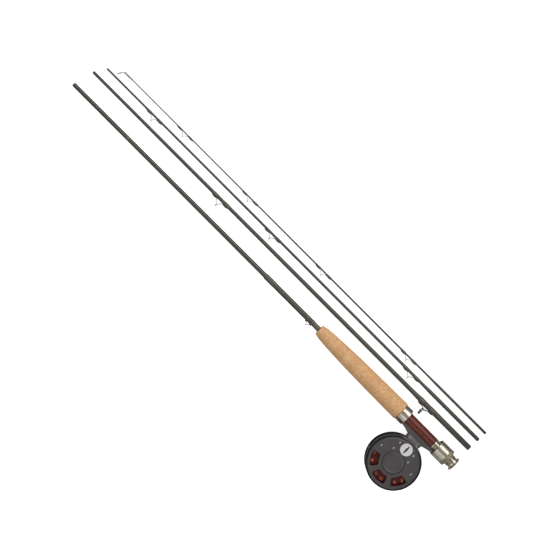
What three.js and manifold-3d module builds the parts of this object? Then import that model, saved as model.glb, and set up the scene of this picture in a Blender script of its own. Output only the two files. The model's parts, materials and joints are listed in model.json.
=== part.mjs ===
// Four-piece fly rod laid out unassembled, with its fly reel on the butt section.
//
// Every section is drawn along X in its own frame: the thick end is at x = 0, the thin
// end at x = -length, and the guides and the reel stand on the -Y side.  The reel is drawn
// around Z: +Z is its back plate, -Z its handle side.  Then each section is laid on the
// ground (z = 0), and the whole outfit is moved so that its box stands centred on the origin.
// Millimetres, +Z up.

import * as THREE from 'three';
import { mergeVertices } from 'three/addons/utils/BufferGeometryUtils.js';
import Module from 'manifold-3d';

const wasm = await Module();
wasm.setup();

// ---------------------------------------------------------------- driving dimensions

const gap = 0.3; // room left between two pieces that touch

// numbers of flat sides that stand for a round
const broad = 36;
const medium = 20;
const small = 12;
const tiny = 8;
const seatSides = 24;

// butt section, distances counted from the butt end
const buttLength = 745;
const buttTipRadius = 3.1;
const buttRadius = 3.5;
const buttTaperEnd = 370;
const sleeveLength = 94;
const sleeveRadius = 4.1;
const windingLength = 11;
const windingRadius = 3.95;
const keeperStandoff = 9.2;

// cork grip
const gripLength = 160;
const gripRadius = 13.7;
const gripFrontRadius = 8.2;

// reel seat
const capLength = 5;
const capRadius = 10.9;
const stubLength = 7;
const nutLength = 4.8;
const hoodLength = 17;
const openSeatLength = 58; // between the mouths of the two hoods
const insertLength = 59.4;
const fixedHoodLength = 12;
const fixedHoodFloor = 3;
const seatRadius = 8.85;
const hoodRadius = 12.75;
const hoodWall = 0.95;
const hoodFloor = 4;
const rimBreak = 0.4; // chamfer on the edges of hoods and nut
const spigotLength = 13;
const spigotRoom = 7;

// reel, radii around its axis and heights along it
const frameRadius = 38.8;
const frameWall = 2.6;
const frameWidth = 28;
const rimHeight = 9;
const rimRise = 0.4;
const backThickness = 2.6;
const backSetDown = 0.6;
const ringHeight = 5.5;
const pillarRadius = 1.5;
const spoolRimGap = 1.5;
const spoolSideGap = 1;
const flangeThickness = 1.2;
const arborRadius = 16.2;
const arborWall = 1.2;
const lineWidth = 16.4;
const lineBelowFlange = 3.5;
const hubRadius = 7.2;
const hubNeckRadius = 6.2;
const spindleRadius = 3;
const bushWall = 1;
const rearPortRadius = 2.6;
const rearPortInside = 2.8; // port circle inside the line's outer edge
const rearPortCount = 18;
const frontPortRadius = 3.3;
const frontPortOffset = 0.55; // port circle outside the middle of arbor and flange edge
const frontPortCount = 12;
const innerPortRadius = 2.6;
const innerPortCircle = 11.1;

// drag and click
const gearRadius = 12.3;
const toothDepth = 1.3;
const gearTeeth = 24;
const gearThickness = 1.4;
const dragDiscRadius = 11;
const dragDiscThickness = 0.8;
const pressurePlateThickness = 0.8;
const discSpringThickness = 0.4;
const dialRadius = 15.5;
const dialThickness = 2.2;
const pawlPivotCircle = 20;
const pawlPivotAngle = 44;
const pawlRadius = 2.6;
const springScrewInset = 7.2;
const springScrewAngles = [79, 27];
const screwRadius = 0.8;
const screwHeadRadius = 1.6;
const screwHeadHeight = 0.9;
const leafThickness = 0.5;

// windows and badge of the back plate, angles counted from the foot
const windowFromDial = 5;
const windowFromRim = 3.6;
const windowHalfAngle = 21;
const windowAngles = [180, 122, -122];
const windowCorner = 2.6;
const badgeThickness = 1.2;
const badgeFromDial = 0.7;
const badgeFromRim = 2.4;

// handle side of the reel
const handleAngle = -70; // from +X, seen from the back plate
const knobLength = 21;
const knobRadius = 6.1;
const knobEndRadius = 4.8;
const knobNeckRadius = 3.6;
const postRadius = 1.6;
const collarRadius = 3.4;
const collarHeight = 1.4;
const postHeadRadius = 2.6;
const postHeadHeight = 1.2;
const counterweightRadius = 3.8;
const counterweightHeight = 2.3;
const hubCapRadius = 8;
const hubCapHeight = 4;
const buttonRadius = 2.6;
const buttonTravel = 0.8;

// reel foot
const toeInFixedHood = 7;
const toeInSlidingHood = 5.2;
const footWidth = 13;
const neckWidth = 24;
const neckDepth = 18; // rod axis to the frame's rim
const neckInset = 4.5; // the foot's neck is this much narrower than the frame on each side
const footScrewSpread = 6;
const footScrewRadius = 1.2;
const footScrewHeadRadius = 2.3;

// loose sections: length, radius at the thin end, at the thick body end and of the ferrule,
// place across the layout, turn about the own axis that lifts the guides off the ground
const looseSections = {
  second: { length: 735.5, tip: 2.2, body: 3.25, ferrule: 3.95, bore: 3.25, y: 28.9, roll: 10 },
  third: { length: 724.5, tip: 1.45, body: 2.2, ferrule: 2.8, bore: 2.3, y: 46, roll: 12 },
  tip: { length: 702.5, tip: 0.8, body: 1.5, ferrule: 1.95, bore: 1.5, y: 59.8, roll: 15 },
};
const ferruleLength = 90;
const ferruleFlare = 25;
const ferruleDepth = 60;
const blankWall = 0.75;
const thinnestBore = 0.3;
const boreDepth = 12; // how far the thin end is drawn hollow

// guides: distance of each from its section's thick end, and how far its loop stands
const strippingGuidePlace = 84.5;
const strippingGuideStandoff = 11.4;
const strippingRingRadius = 5.2;
const strippingFrameWall = 0.7;
const ceramicWall = 0.6;
const ceramicWidth = 2.4;
const snakeGuides = [
  { name: 'snake_guide_1', section: 'second', place: 487, standoff: 12, loop: 3.4, wire: 0.5 },
  { name: 'snake_guide_2', section: 'third', place: 131, standoff: 10.8, loop: 3.2, wire: 0.48 },
  { name: 'snake_guide_3', section: 'third', place: 402, standoff: 9.2, loop: 2.9, wire: 0.46 },
  { name: 'snake_guide_4', section: 'third', place: 632, standoff: 8.6, loop: 2.7, wire: 0.44 },
  { name: 'snake_guide_5', section: 'tip', place: 150.5, standoff: 8.2, loop: 2.5, wire: 0.42 },
  { name: 'snake_guide_6', section: 'tip', place: 316.5, standoff: 7.9, loop: 2.4, wire: 0.4 },
  { name: 'snake_guide_7', section: 'tip', place: 459.5, standoff: 7.6, loop: 2.3, wire: 0.4 },
  { name: 'snake_guide_8', section: 'tip', place: 585.5, standoff: 7.4, loop: 2.2, wire: 0.4 },
];
const guideFootLength = 8;
const tipTubeLength = 9;
const tipTubeWall = 0.4;
const tipRingRadius = 2.5;
const tipRingWire = 0.45;
const tipRingReach = 5.2;
const tipRingDrop = 6.4;

// ---------------------------------------------------------------- derived places

const deg = THREE.MathUtils.degToRad;
const nutStart = capLength + stubLength;
const hoodStart = nutStart + nutLength + gap;
const hoodMouth = hoodStart + hoodLength;
const fixedMouth = hoodMouth + openSeatLength;
const seatLength = fixedMouth + fixedHoodLength;
const gripEnd = seatLength + gripLength;
const pocketRadius = hoodRadius - hoodWall;
const reelPlace = -(hoodMouth + fixedMouth) / 2;
const reelDrop = neckDepth + frameRadius;
const buttBore = buttRadius - 1;
const fixedFloor = seatLength - fixedHoodFloor;
const insertEnd = fixedFloor - gap - insertLength;

const outerFace = frameWidth / 2;
const backOuter = outerFace - backSetDown;
const backInner = backOuter - backThickness;
const rimInnerRadius = frameRadius - frameWall;
const spoolRadius = rimInnerRadius - spoolRimGap;
const lineRadius = spoolRadius - lineBelowFlange;
const rearPortCircle = lineRadius - rearPortInside;
const frontPortCircle = (spoolRadius + arborRadius) / 2 + frontPortOffset;
const handleCircle = frontPortCircle;
const springScrewCircle = rimInnerRadius - springScrewInset;
const windowInner = dialRadius + windowFromDial;
const windowOuter = rimInnerRadius - windowFromRim;
const badgeRadius = (rimInnerRadius - badgeFromRim - dialRadius - badgeFromDial) / 2;
const badgeCircle = dialRadius + badgeFromDial + badgeRadius;
const rimEnd = outerFace - rimHeight;
const ringInner = -outerFace + ringHeight;
const spoolFront = -outerFace + spoolSideGap;
const frontFlange = spoolFront + flangeThickness;
const rearFlange = frontFlange + lineWidth;
const spoolBack = rearFlange + flangeThickness;
const gearBottom = spoolBack + gap;
const gearTop = gearBottom + gearThickness;
const dragDiscTop = gearTop + gap + dragDiscThickness;
const pressureTop = dragDiscTop + gap + pressurePlateThickness;
const dialBottom = backOuter - 0.7;
const dialTop = dialBottom + dialThickness;
const spindleTop = dialTop - 1;
const screwProud = 0.5; // how far heads and badge stand above the back plate
const screwSeat = backOuter + screwProud - screwHeadHeight;
const badgeBottom = backOuter + screwProud - badgeThickness + 0.1;
const footScrewSeat = rimInnerRadius + 0.9;
const footScrewMiddle = (ringInner + rimEnd) / 2;
const footScrewEnd = frameRadius + 4.7;
const handleFace = spoolFront - gap;
const knobTop = handleFace - collarHeight - gap;
const knobBottom = knobTop - knobLength;

// ---------------------------------------------------------------- shape helpers

// one closed surface: shared corners merged, empty triangles dropped, faces pointing out
function closedForm(geometry) {
  const bare = geometry.clone();
  bare.deleteAttribute('normal');
  bare.deleteAttribute('uv');
  const merged = mergeVertices(bare, 1e-4);
  const index = merged.getIndex().array;
  const place = merged.getAttribute('position');
  const kept = [];
  const corner = [new THREE.Vector3(), new THREE.Vector3(), new THREE.Vector3()];
  let volume = 0;
  for (let i = 0; i < index.length; i += 3) {
    const [a, b, c] = [index[i], index[i + 1], index[i + 2]];
    if (a === b || b === c || c === a) continue;
    kept.push(a, b, c);
    [a, b, c].forEach((v, k) => corner[k].fromBufferAttribute(place, v));
    volume += corner[0].dot(corner[1].cross(corner[2]));
  }
  if (volume < 0) kept.reverse();
  merged.setIndex(kept);
  return merged;
}

function toSolid(geometry) {
  const shape = closedForm(geometry);
  return new wasm.Manifold(new wasm.Mesh({
    numProp: 3,
    vertProperties: new Float32Array(shape.getAttribute('position').array),
    triVerts: new Uint32Array(shape.getIndex().array),
  }));
}

function fromSolid(solid) {
  const mesh = solid.getMesh();
  const geometry = new THREE.BufferGeometry();
  geometry.setAttribute('position', new THREE.BufferAttribute(mesh.vertProperties, 3));
  geometry.setIndex(new THREE.BufferAttribute(mesh.triVerts, 1));
  return geometry;
}

function joined(first, ...others) {
  return fromSolid(others.reduce((whole, piece) => whole.add(toSolid(piece)), toSolid(first)));
}

function cutBy(first, ...tools) {
  return fromSolid(tools.reduce((rest, tool) => rest.subtract(toSolid(tool)), toSolid(first)));
}

// a turned piece around X or Z from [radius, place along the axis] points; an outline that
// doesn't start on the axis is a ring and closes on itself
function turned(axis, outline, sides) {
  const points = outline.map(([radius, along]) => new THREE.Vector2(radius, along));
  if (outline[0][0] > 0) points.push(points[0].clone());
  const geometry = new THREE.LatheGeometry(points, sides);
  if (axis === 'x') geometry.rotateZ(-Math.PI / 2);
  if (axis === 'z') geometry.rotateX(Math.PI / 2);
  return geometry;
}

function rod(axis, radius, from, to, sides) {
  return turned(axis, [[0, from], [radius, from], [radius, to], [0, to]], sides);
}

function ring(axis, inner, outer, from, to, sides) {
  return turned(axis, [[inner, from], [outer, from], [outer, to], [inner, to]], sides);
}

function polygon(radius, sides) {
  const shape = new THREE.Shape();
  for (let i = 0; i < sides; i += 1) {
    const turn = (i / sides) * 2 * Math.PI;
    const move = i === 0 ? 'moveTo' : 'lineTo';
    shape[move](radius * Math.cos(turn), radius * Math.sin(turn));
  }
  return shape;
}

function wire(points, radius, steps, sides = 6) {
  const path = new THREE.CatmullRomCurve3(points, false, 'centripetal');
  return new THREE.ExtrudeGeometry(polygon(radius, sides), { steps, extrudePath: path });
}

function plate(shape, from, to, curveSegments = 12) {
  const options = { depth: to - from, bevelEnabled: false, curveSegments };
  return new THREE.ExtrudeGeometry(shape, options).translate(0, 0, from);
}

// a point on the reel, its angle counted from the foot towards the butt end
function onReel(radius, angle) {
  return [radius * Math.sin(deg(angle)), radius * Math.cos(deg(angle))];
}

function at(geometry, [x, y], z = 0) {
  return geometry.translate(x, y, z);
}

function finish(colour, roughness, metalness) {
  return new THREE.MeshStandardMaterial({ color: colour, roughness, metalness });
}

function addPiece(group, name, geometry, material) {
  const shape = closedForm(geometry);
  shape.computeVertexNormals();
  const mesh = new THREE.Mesh(shape, material);
  mesh.name = name;
  group.add(mesh);
  return mesh;
}

// ---------------------------------------------------------------- finishes

const carbon = finish(0x3a3c34, 0.25, 0.1);
const nickelSilver = finish(0xc9c4b4, 0.25, 1);
const thread = finish(0x5a4630, 0.35, 0);
const cork = finish(0xcf9a68, 0.85, 0);
const rosewood = finish(0x6e2d26, 0.4, 0);
const charcoal = finish(0x4e5050, 0.5, 0.8);
const blackAnodised = finish(0x1c1c1e, 0.45, 0.8);
const burgundy = finish(0x6a1c1c, 0.35, 0.8);
const backing = finish(0xc8694a, 0.7, 0);
const steel = finish(0xb8babc, 0.3, 1);
const bronze = finish(0x9a7440, 0.4, 1);
const ceramic = finish(0x2c2c30, 0.15, 0);

// ---------------------------------------------------------------- rod blanks

// radius of a loose section's blank at a distance from its thick end
function blankRadius(size, distance) {
  const bodyEnd = ferruleLength + ferruleFlare;
  const share = Math.max(0, distance - bodyEnd) / (size.length - bodyEnd);
  return size.body + (size.tip - size.body) * share;
}

function looseBlank(size) {
  const hollow = Math.max(thinnestBore, size.tip - blankWall);
  return turned('x', [
    [0, -size.length + boreDepth],
    [hollow, -size.length + boreDepth],
    [hollow, -size.length],
    [size.tip, -size.length],
    [size.body, -ferruleLength - ferruleFlare],
    [size.ferrule, -ferruleLength],
    [size.ferrule, 0],
    [size.bore, 0],
    [size.bore, -ferruleDepth],
    [0, -ferruleDepth],
  ], small);
}

function buttBlank() {
  const hollow = buttTipRadius - blankWall;
  return turned('x', [
    [0, -buttLength + boreDepth],
    [hollow, -buttLength + boreDepth],
    [hollow, -buttLength],
    [buttTipRadius, -buttLength],
    [buttRadius, -buttTaperEnd],
    [buttRadius, -capLength - gap],
    [buttBore, -capLength - gap],
    [buttBore, -capLength - spigotLength - spigotRoom],
    [0, -capLength - spigotLength - spigotRoom],
  ], small);
}

// ---------------------------------------------------------------- grip and seat

function corkGrip() {
  const front = -gripEnd;
  const rear = -seatLength - gap;
  const rise = gripRadius - gripFrontRadius;
  const swell = new THREE.SplineCurve([
    new THREE.Vector2(gripFrontRadius, front + 2),
    new THREE.Vector2(gripFrontRadius + rise * 0.3, front + gripLength * 0.07),
    new THREE.Vector2(gripFrontRadius + rise * 0.6, front + gripLength * 0.23),
    new THREE.Vector2(gripFrontRadius + rise * 0.86, front + gripLength * 0.5),
    new THREE.Vector2(gripRadius, rear - 8),
    new THREE.Vector2(gripRadius, rear),
  ]);
  const bore = buttRadius + gap;
  const skin = swell.getPoints(10).map((point) => [point.x, point.y]);
  const profile = [[bore, front], [gripFrontRadius - 1, front], ...skin, [bore, rear]];
  return turned('x', profile, medium);
}

function fixedHood() {
  return turned('x', [
    [buttRadius + gap, -seatLength],
    [hoodRadius - rimBreak, -seatLength],
    [hoodRadius, -seatLength + rimBreak],
    [hoodRadius, -fixedMouth - rimBreak],
    [hoodRadius - rimBreak, -fixedMouth],
    [pocketRadius, -fixedMouth],
    [pocketRadius, -fixedFloor],
    [buttRadius + gap, -fixedFloor],
  ], seatSides);
}

function seatInsert() {
  return ring('x', buttRadius + gap, seatRadius, -fixedFloor + gap, -insertEnd, seatSides);
}

function threadedBarrel() {
  const from = -insertEnd + gap;
  const crest = seatRadius - 0.1;
  const end = -capLength - gap;
  return turned('x', [
    [buttRadius + gap, from],
    [crest - 0.3, from],
    [crest, from + 0.3],
    [crest, end - 0.6],
    [crest - 0.6, end],
    [buttRadius + gap, end],
  ], seatSides);
}

function slidingHood() {
  const bore = seatRadius + gap;
  return turned('x', [
    [bore, -hoodStart - hoodFloor],
    [pocketRadius, -hoodStart - hoodFloor],
    [pocketRadius, -hoodMouth],
    [hoodRadius - rimBreak, -hoodMouth],
    [hoodRadius, -hoodMouth + rimBreak],
    [hoodRadius, -hoodStart],
    [bore, -hoodStart],
  ], seatSides);
}

function lockingNut() {
  const bore = seatRadius + gap;
  const end = -nutStart;
  return turned('x', [
    [bore, end - nutLength],
    [hoodRadius - rimBreak, end - nutLength],
    [hoodRadius, end - nutLength + rimBreak],
    [hoodRadius, end - rimBreak],
    [hoodRadius - rimBreak, end],
    [bore, end],
  ], seatSides);
}

function buttCap() {
  const spigot = buttBore - gap;
  const waist = seatRadius - 0.9;
  return turned('x', [
    [0, -capLength - spigotLength],
    [spigot, -capLength - spigotLength],
    [spigot, -capLength],
    [waist, -capLength],
    [waist + 0.2, -capLength * 0.66],
    [waist + 0.9, -capLength * 0.38],
    [capRadius - 0.3, -0.9],
    [capRadius, -0.6],
    [capRadius - 0.4, 0],
    [0, 0],
  ], seatSides);
}

// a wire loop on two feet: the feet lie along the blank, the loop stands across it
function loopOnFeet({ blank, standoff, loop, wireRadius, foot, reach }) {
  const seat = -(blank + gap / 2 + wireRadius);
  const top = -(standoff - wireRadius);
  const middle = seat + (top - seat) * 0.52;
  return wire([
    new THREE.Vector3(-reach - foot, seat, 0),
    new THREE.Vector3(-reach - foot * 0.5, seat, 0),
    new THREE.Vector3(-reach, seat, 0),
    new THREE.Vector3(-1, middle, loop * 0.86),
    new THREE.Vector3(-0.5, top * 0.86 + middle * 0.14, loop * 0.62),
    new THREE.Vector3(0, top, 0),
    new THREE.Vector3(0.5, top * 0.86 + middle * 0.14, -loop * 0.62),
    new THREE.Vector3(1, middle, -loop * 0.86),
    new THREE.Vector3(reach, seat, 0),
    new THREE.Vector3(reach + foot * 0.5, seat, 0),
    new THREE.Vector3(reach + foot, seat, 0),
  ], wireRadius, 18, 5);
}

// ---------------------------------------------------------------- reel frame

function windowShape(centre) {
  const shape = new THREE.Shape();
  const half = deg(windowHalfAngle);
  const middle = Math.PI / 2 - deg(centre);
  const outerTrim = windowCorner / windowOuter;
  const innerTrim = windowCorner / windowInner;
  const corner = (radius, angle) => [radius * Math.cos(angle), radius * Math.sin(angle)];
  const low = middle - half;
  const high = middle + half;
  shape.absarc(0, 0, windowOuter, low + outerTrim, high - outerTrim, false);
  shape.quadraticCurveTo(...corner(windowOuter, high), ...corner(windowOuter - windowCorner, high));
  shape.lineTo(...corner(windowInner + windowCorner, high));
  shape.quadraticCurveTo(...corner(windowInner, high), ...corner(windowInner, high - innerTrim));
  shape.absarc(0, 0, windowInner, high - innerTrim, low + innerTrim, true);
  shape.quadraticCurveTo(...corner(windowInner, low), ...corner(windowInner + windowCorner, low));
  shape.lineTo(...corner(windowOuter - windowCorner, low));
  shape.quadraticCurveTo(...corner(windowOuter, low), ...corner(windowOuter, low + outerTrim));
  return shape;
}

function screwHole(radius, angle) {
  const spot = onReel(radius, angle);
  const headSeat = screwSeat - gap;
  return [
    at(rod('z', screwRadius + gap, backInner - 1, outerFace, tiny), spot),
    at(rod('z', screwHeadRadius + gap, headSeat, outerFace + 1, tiny), spot),
  ];
}

function backPlate() {
  const dialSeat = dialBottom - gap;
  const body = turned('z', [
    [spindleRadius + gap, backInner],
    [rimInnerRadius, backInner],
    [rimInnerRadius, rimEnd],
    [frameRadius, rimEnd],
    [frameRadius, outerFace],
    [frameRadius - 0.5, outerFace + rimRise],
    [rimInnerRadius + 0.4, outerFace + rimRise],
    [rimInnerRadius - 0.5, backOuter],
    [dialRadius + gap, backOuter],
    [dialRadius + gap, dialSeat],
    [spindleRadius + gap, dialSeat],
  ], broad);
  const windows = windowAngles.map((angle) => (
    plate(windowShape(angle), backInner - 1, outerFace + 1, 4)));
  const badgeHole = rod('z', badgeRadius + gap, badgeBottom - gap, outerFace + 1, medium);
  const holes = [1, -1].flatMap((side) => [
    ...screwHole(pawlPivotCircle, side * pawlPivotAngle),
    ...springScrewAngles.flatMap((angle) => screwHole(springScrewCircle, side * angle)),
  ]);
  return cutBy(body, ...windows, at(badgeHole, onReel(badgeCircle, 0)), ...holes);
}

function badge() {
  const top = badgeBottom + badgeThickness;
  return turned('z', [
    [0, badgeBottom],
    [badgeRadius, badgeBottom],
    [badgeRadius, top - 0.3],
    [badgeRadius - 0.4, top],
    [0, top],
  ], medium);
}

function backScrew(end) {
  const top = screwSeat + screwHeadHeight;
  return turned('z', [
    [0, end],
    [screwRadius, end],
    [screwRadius, screwSeat],
    [screwHeadRadius, screwSeat],
    [screwHeadRadius, screwSeat + screwHeadHeight * 0.6],
    [screwHeadRadius * 0.7, top],
    [0, top],
  ], tiny);
}

function frontRing() {
  return turned('z', [
    [rimInnerRadius, -outerFace],
    [frameRadius - 0.5, -outerFace],
    [frameRadius, -outerFace + 0.5],
    [frameRadius, ringInner],
    [rimInnerRadius, ringInner],
  ], broad);
}

function footBridge() {
  const inner = rimInnerRadius - 0.6;
  const half = Math.asin((neckWidth / 2 - 0.6) / frameRadius);
  const shape = new THREE.Shape();
  shape.absarc(0, 0, frameRadius, Math.PI / 2 - half, Math.PI / 2 + half, false);
  shape.absarc(0, 0, inner, Math.PI / 2 + half, Math.PI / 2 - half, true);
  const block = plate(shape, ringInner + gap, rimEnd - gap, 6);
  const inside = inner - 5;
  const holes = [-footScrewSpread, footScrewSpread].flatMap((x) => [
    rod('z', footScrewRadius + gap, inside, frameRadius + 2, tiny),
    rod('z', footScrewHeadRadius + gap, inside, footScrewSeat, tiny),
  ].map((hole) => hole.rotateX(-Math.PI / 2).translate(x, 0, footScrewMiddle)));
  return cutBy(block, ...holes);
}

function footScrew() {
  const head = footScrewSeat - gap;
  return turned('z', [
    [0, head - 1],
    [footScrewHeadRadius, head - 1],
    [footScrewHeadRadius, head],
    [footScrewRadius, head],
    [footScrewRadius, footScrewEnd],
    [0, footScrewEnd],
  ], tiny).rotateX(-Math.PI / 2);
}

// drawn around the rod axis, with x counted from the reel axis
function reelFoot() {
  const mouthToReel = (fixedMouth - hoodMouth) / 2;
  const frontToe = -mouthToReel - toeInFixedHood;
  const rearToe = mouthToReel + toeInSlidingHood;
  const toeRadius = pocketRadius - 0.4;
  const half = neckWidth / 2;
  const side = new THREE.Shape();
  side.moveTo(frontToe, -3);
  side.lineTo(frontToe, -toeRadius + 0.8);
  side.lineTo(frontToe + toeInFixedHood, -toeRadius);
  side.quadraticCurveTo(-half - 6, -toeRadius - 1, -half, -neckDepth + 4.4);
  side.lineTo(half, -neckDepth + 4.4);
  side.quadraticCurveTo(half + 6, -toeRadius - 1, rearToe - toeInSlidingHood, -toeRadius);
  side.lineTo(rearToe, -toeRadius + 0.8);
  side.lineTo(rearToe, -3);
  side.closePath();
  const saddle = plate(side, -footWidth / 2, footWidth / 2, 8);
  const neck = new THREE.Shape();
  neck.moveTo(-half, -seatRadius);
  neck.lineTo(-half, -neckDepth - 3);
  neck.lineTo(half, -neckDepth - 3);
  neck.lineTo(half, -seatRadius);
  neck.closePath();
  const neckHalf = outerFace - neckInset;
  const block = plate(neck, -neckHalf, neckHalf);
  const seat = rod('x', seatRadius + gap, frontToe - 5, rearToe + 5, medium);
  const rim = rod('z', frameRadius + gap, -outerFace - 2, outerFace + 2, broad).translate(0, -reelDrop, 0);
  const mouth = mouthToReel - gap;
  const rings = [
    ring('x', toeRadius, hoodRadius + 8, -mouth - 30, -mouth, medium),
    ring('x', toeRadius, hoodRadius + 8, mouth, mouth + 30, medium),
  ];
  const holes = [-footScrewSpread, footScrewSpread].map((x) => (
    rod('z', footScrewRadius + gap, rimInnerRadius, footScrewEnd + 0.5, tiny)
      .rotateX(-Math.PI / 2).translate(x, -reelDrop, footScrewMiddle)));
  return cutBy(joined(saddle, block), seat, rim, ...rings, ...holes);
}

// ---------------------------------------------------------------- drag and click

function spindle() {
  return turned('z', [
    [0, spoolFront + 0.4],
    [spindleRadius - 0.4, spoolFront + 0.4],
    [spindleRadius, spoolFront + 0.8],
    [spindleRadius, spindleTop],
    [0, spindleTop],
  ], small);
}

function clickGear() {
  const shape = new THREE.Shape();
  for (let i = 0; i < gearTeeth; i += 1) {
    const turn = (i / gearTeeth) * 2 * Math.PI;
    const step = Math.PI / gearTeeth;
    const root = gearRadius - toothDepth;
    const corners = [[root, -0.8], [gearRadius, -0.25], [gearRadius, 0.25], [root, 0.8]];
    corners.forEach(([radius, share], k) => {
      const move = i === 0 && k === 0 ? 'moveTo' : 'lineTo';
      shape[move](radius * Math.cos(turn + step * share), radius * Math.sin(turn + step * share));
    });
  }
  shape.closePath();
  shape.holes.push(new THREE.Path(polygon(hubNeckRadius + gap, small).getPoints().reverse()));
  return plate(shape, gearBottom, gearTop);
}

function discSpring() {
  const inner = spindleRadius + gap;
  const outer = dragDiscRadius - 1;
  const low = pressureTop + gap;
  const high = backInner - gap - discSpringThickness;
  return turned('z', [
    [inner, high],
    [outer, low],
    [outer, low + discSpringThickness * 0.6],
    [inner, high + discSpringThickness],
  ], medium);
}

function dragDial() {
  return turned('z', [
    [0, spindleTop + gap],
    [spindleRadius + gap, spindleTop + gap],
    [spindleRadius + gap, dialBottom],
    [dialRadius, dialBottom],
    [dialRadius, dialTop - 0.5],
    [dialRadius - 0.5, dialTop],
    [dialRadius - 3.2, dialTop],
    [dialRadius - 3.8, dialTop - 0.4],
    [0, dialTop - 0.4],
  ], seatSides);
}

// drawn around its pivot, nose towards the reel axis along -Y
function clickPawl() {
  const reach = pawlPivotCircle - gearRadius - 0.35;
  const shape = new THREE.Shape();
  shape.absarc(0, 0, pawlRadius, deg(-30), deg(210), false);
  shape.lineTo(-0.35, -reach);
  shape.lineTo(0.35, -reach);
  shape.closePath();
  shape.holes.push(new THREE.Path(polygon(screwRadius + gap, tiny).getPoints().reverse()));
  return plate(shape, gearBottom, gearTop, 6);
}

// a leaf between its two screws, bowed in to press behind the pawl
function pawlSpring(side) {
  const low = gearBottom + 0.2;
  const high = gearTop - 0.1;
  const [outer, inner] = springScrewAngles.map((angle) => onReel(springScrewCircle, side * angle));
  const bow = onReel(pawlPivotCircle + pawlRadius + gap + leafThickness, side * pawlPivotAngle);
  const section = new THREE.Shape();
  const half = leafThickness / 2;
  const tall = (high - low) / 2 - 0.1;
  section.moveTo(-tall, -half);
  section.lineTo(tall, -half);
  section.lineTo(tall, half);
  section.lineTo(-tall, half);
  section.closePath();
  const height = (low + high) / 2;
  const outward = new THREE.Vector3(outer[0], outer[1], height);
  const inward = new THREE.Vector3(inner[0], inner[1], height);
  const pressed = new THREE.Vector3(bow[0], bow[1], height);
  const eye = screwRadius + gap + 0.3;
  const start = outward.clone().lerp(pressed, eye / outward.distanceTo(pressed));
  const stop = inward.clone().lerp(pressed, eye / inward.distanceTo(pressed));
  const path = new THREE.CatmullRomCurve3([start, pressed, stop]);
  const leaf = new THREE.ExtrudeGeometry(section, { steps: 8, extrudePath: path });
  const eyes = [outer, inner].map((spot) => (
    at(ring('z', screwRadius + gap, screwRadius + gap + 0.8, low, high, tiny), spot)));
  return joined(leaf, ...eyes);
}

// ---------------------------------------------------------------- spool and handle

function spool() {
  const bushRadius = spindleRadius + gap + bushWall + gap;
  const body = turned('z', [
    [bushRadius, spoolFront],
    [spoolRadius, spoolFront],
    [spoolRadius, frontFlange],
    [arborRadius, frontFlange],
    [arborRadius, rearFlange],
    [spoolRadius, rearFlange],
    [spoolRadius, spoolBack],
    [arborRadius - arborWall, spoolBack],
    [arborRadius - arborWall, frontFlange],
    [hubRadius, frontFlange],
    [hubRadius, spoolBack],
    [hubNeckRadius, spoolBack],
    [hubNeckRadius, gearTop],
    [bushRadius, gearTop],
  ], broad);
  const ports = [];
  for (let i = 0; i < rearPortCount; i += 1) {
    const turn = deg(handleAngle + ((i + 0.5) * 360) / rearPortCount);
    const spot = [rearPortCircle * Math.cos(turn), rearPortCircle * Math.sin(turn)];
    ports.push(at(rod('z', rearPortRadius, rearFlange - 1, spoolBack + 1, tiny), spot));
  }
  for (let i = 0; i < frontPortCount; i += 1) {
    const turn = deg(handleAngle + (i * 360) / frontPortCount);
    const onHandle = i % (frontPortCount / 2) === 0;
    const radius = onHandle ? postRadius + gap : frontPortRadius;
    const spot = [frontPortCircle * Math.cos(turn), frontPortCircle * Math.sin(turn)];
    ports.push(at(rod('z', radius, spoolFront - 1, frontFlange + 1, tiny), spot));
  }
  for (let i = 0; i < 6; i += 1) {
    const turn = deg(handleAngle + 30 + i * 60);
    const spot = [innerPortCircle * Math.cos(turn), innerPortCircle * Math.sin(turn)];
    ports.push(at(rod('z', innerPortRadius, spoolFront - 1, frontFlange + 1, tiny), spot));
  }
  return cutBy(body, ...ports);
}

function lineWinding() {
  const low = frontFlange + gap;
  const high = rearFlange - gap;
  const middle = (low + high) / 2;
  return turned('z', [
    [arborRadius + gap, low],
    [lineRadius - 1, low],
    [lineRadius - 0.3, low + 2.5],
    [lineRadius, middle],
    [lineRadius - 0.3, high - 2.5],
    [lineRadius - 1, high],
    [arborRadius + gap, high],
  ], broad);
}

function spoolBush() {
  const inner = spindleRadius + gap;
  return ring('z', inner, inner + bushWall, spoolFront + 0.4, gearTop, small);
}

function handlePost() {
  const headSeat = knobBottom + 1.4;
  return turned('z', [
    [0, headSeat - postHeadHeight],
    [postHeadRadius, headSeat - postHeadHeight],
    [postHeadRadius, headSeat],
    [postRadius, headSeat],
    [postRadius, handleFace - collarHeight],
    [collarRadius, handleFace - collarHeight],
    [collarRadius, handleFace],
    [postRadius, handleFace],
    [postRadius, frontFlange - 0.1],
    [0, frontFlange - 0.1],
  ], small);
}

function handleKnob() {
  const bore = postRadius + gap;
  const counterbore = postHeadRadius + gap;
  const headSeat = knobBottom + 1.4 + gap;
  return turned('z', [
    [bore, knobTop],
    [bore, headSeat],
    [counterbore, headSeat],
    [counterbore, knobBottom],
    [knobEndRadius, knobBottom],
    [knobRadius - 0.4, knobBottom + 1.2],
    [knobRadius, knobBottom + 4],
    [knobRadius - 0.6, knobBottom + knobLength * 0.45],
    [knobNeckRadius + 0.4, knobBottom + knobLength * 0.72],
    [knobNeckRadius, knobBottom + knobLength * 0.84],
    [knobNeckRadius + 0.8, knobTop - 0.6],
    [knobNeckRadius + 0.5, knobTop],
  ], small + 4);
}

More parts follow.
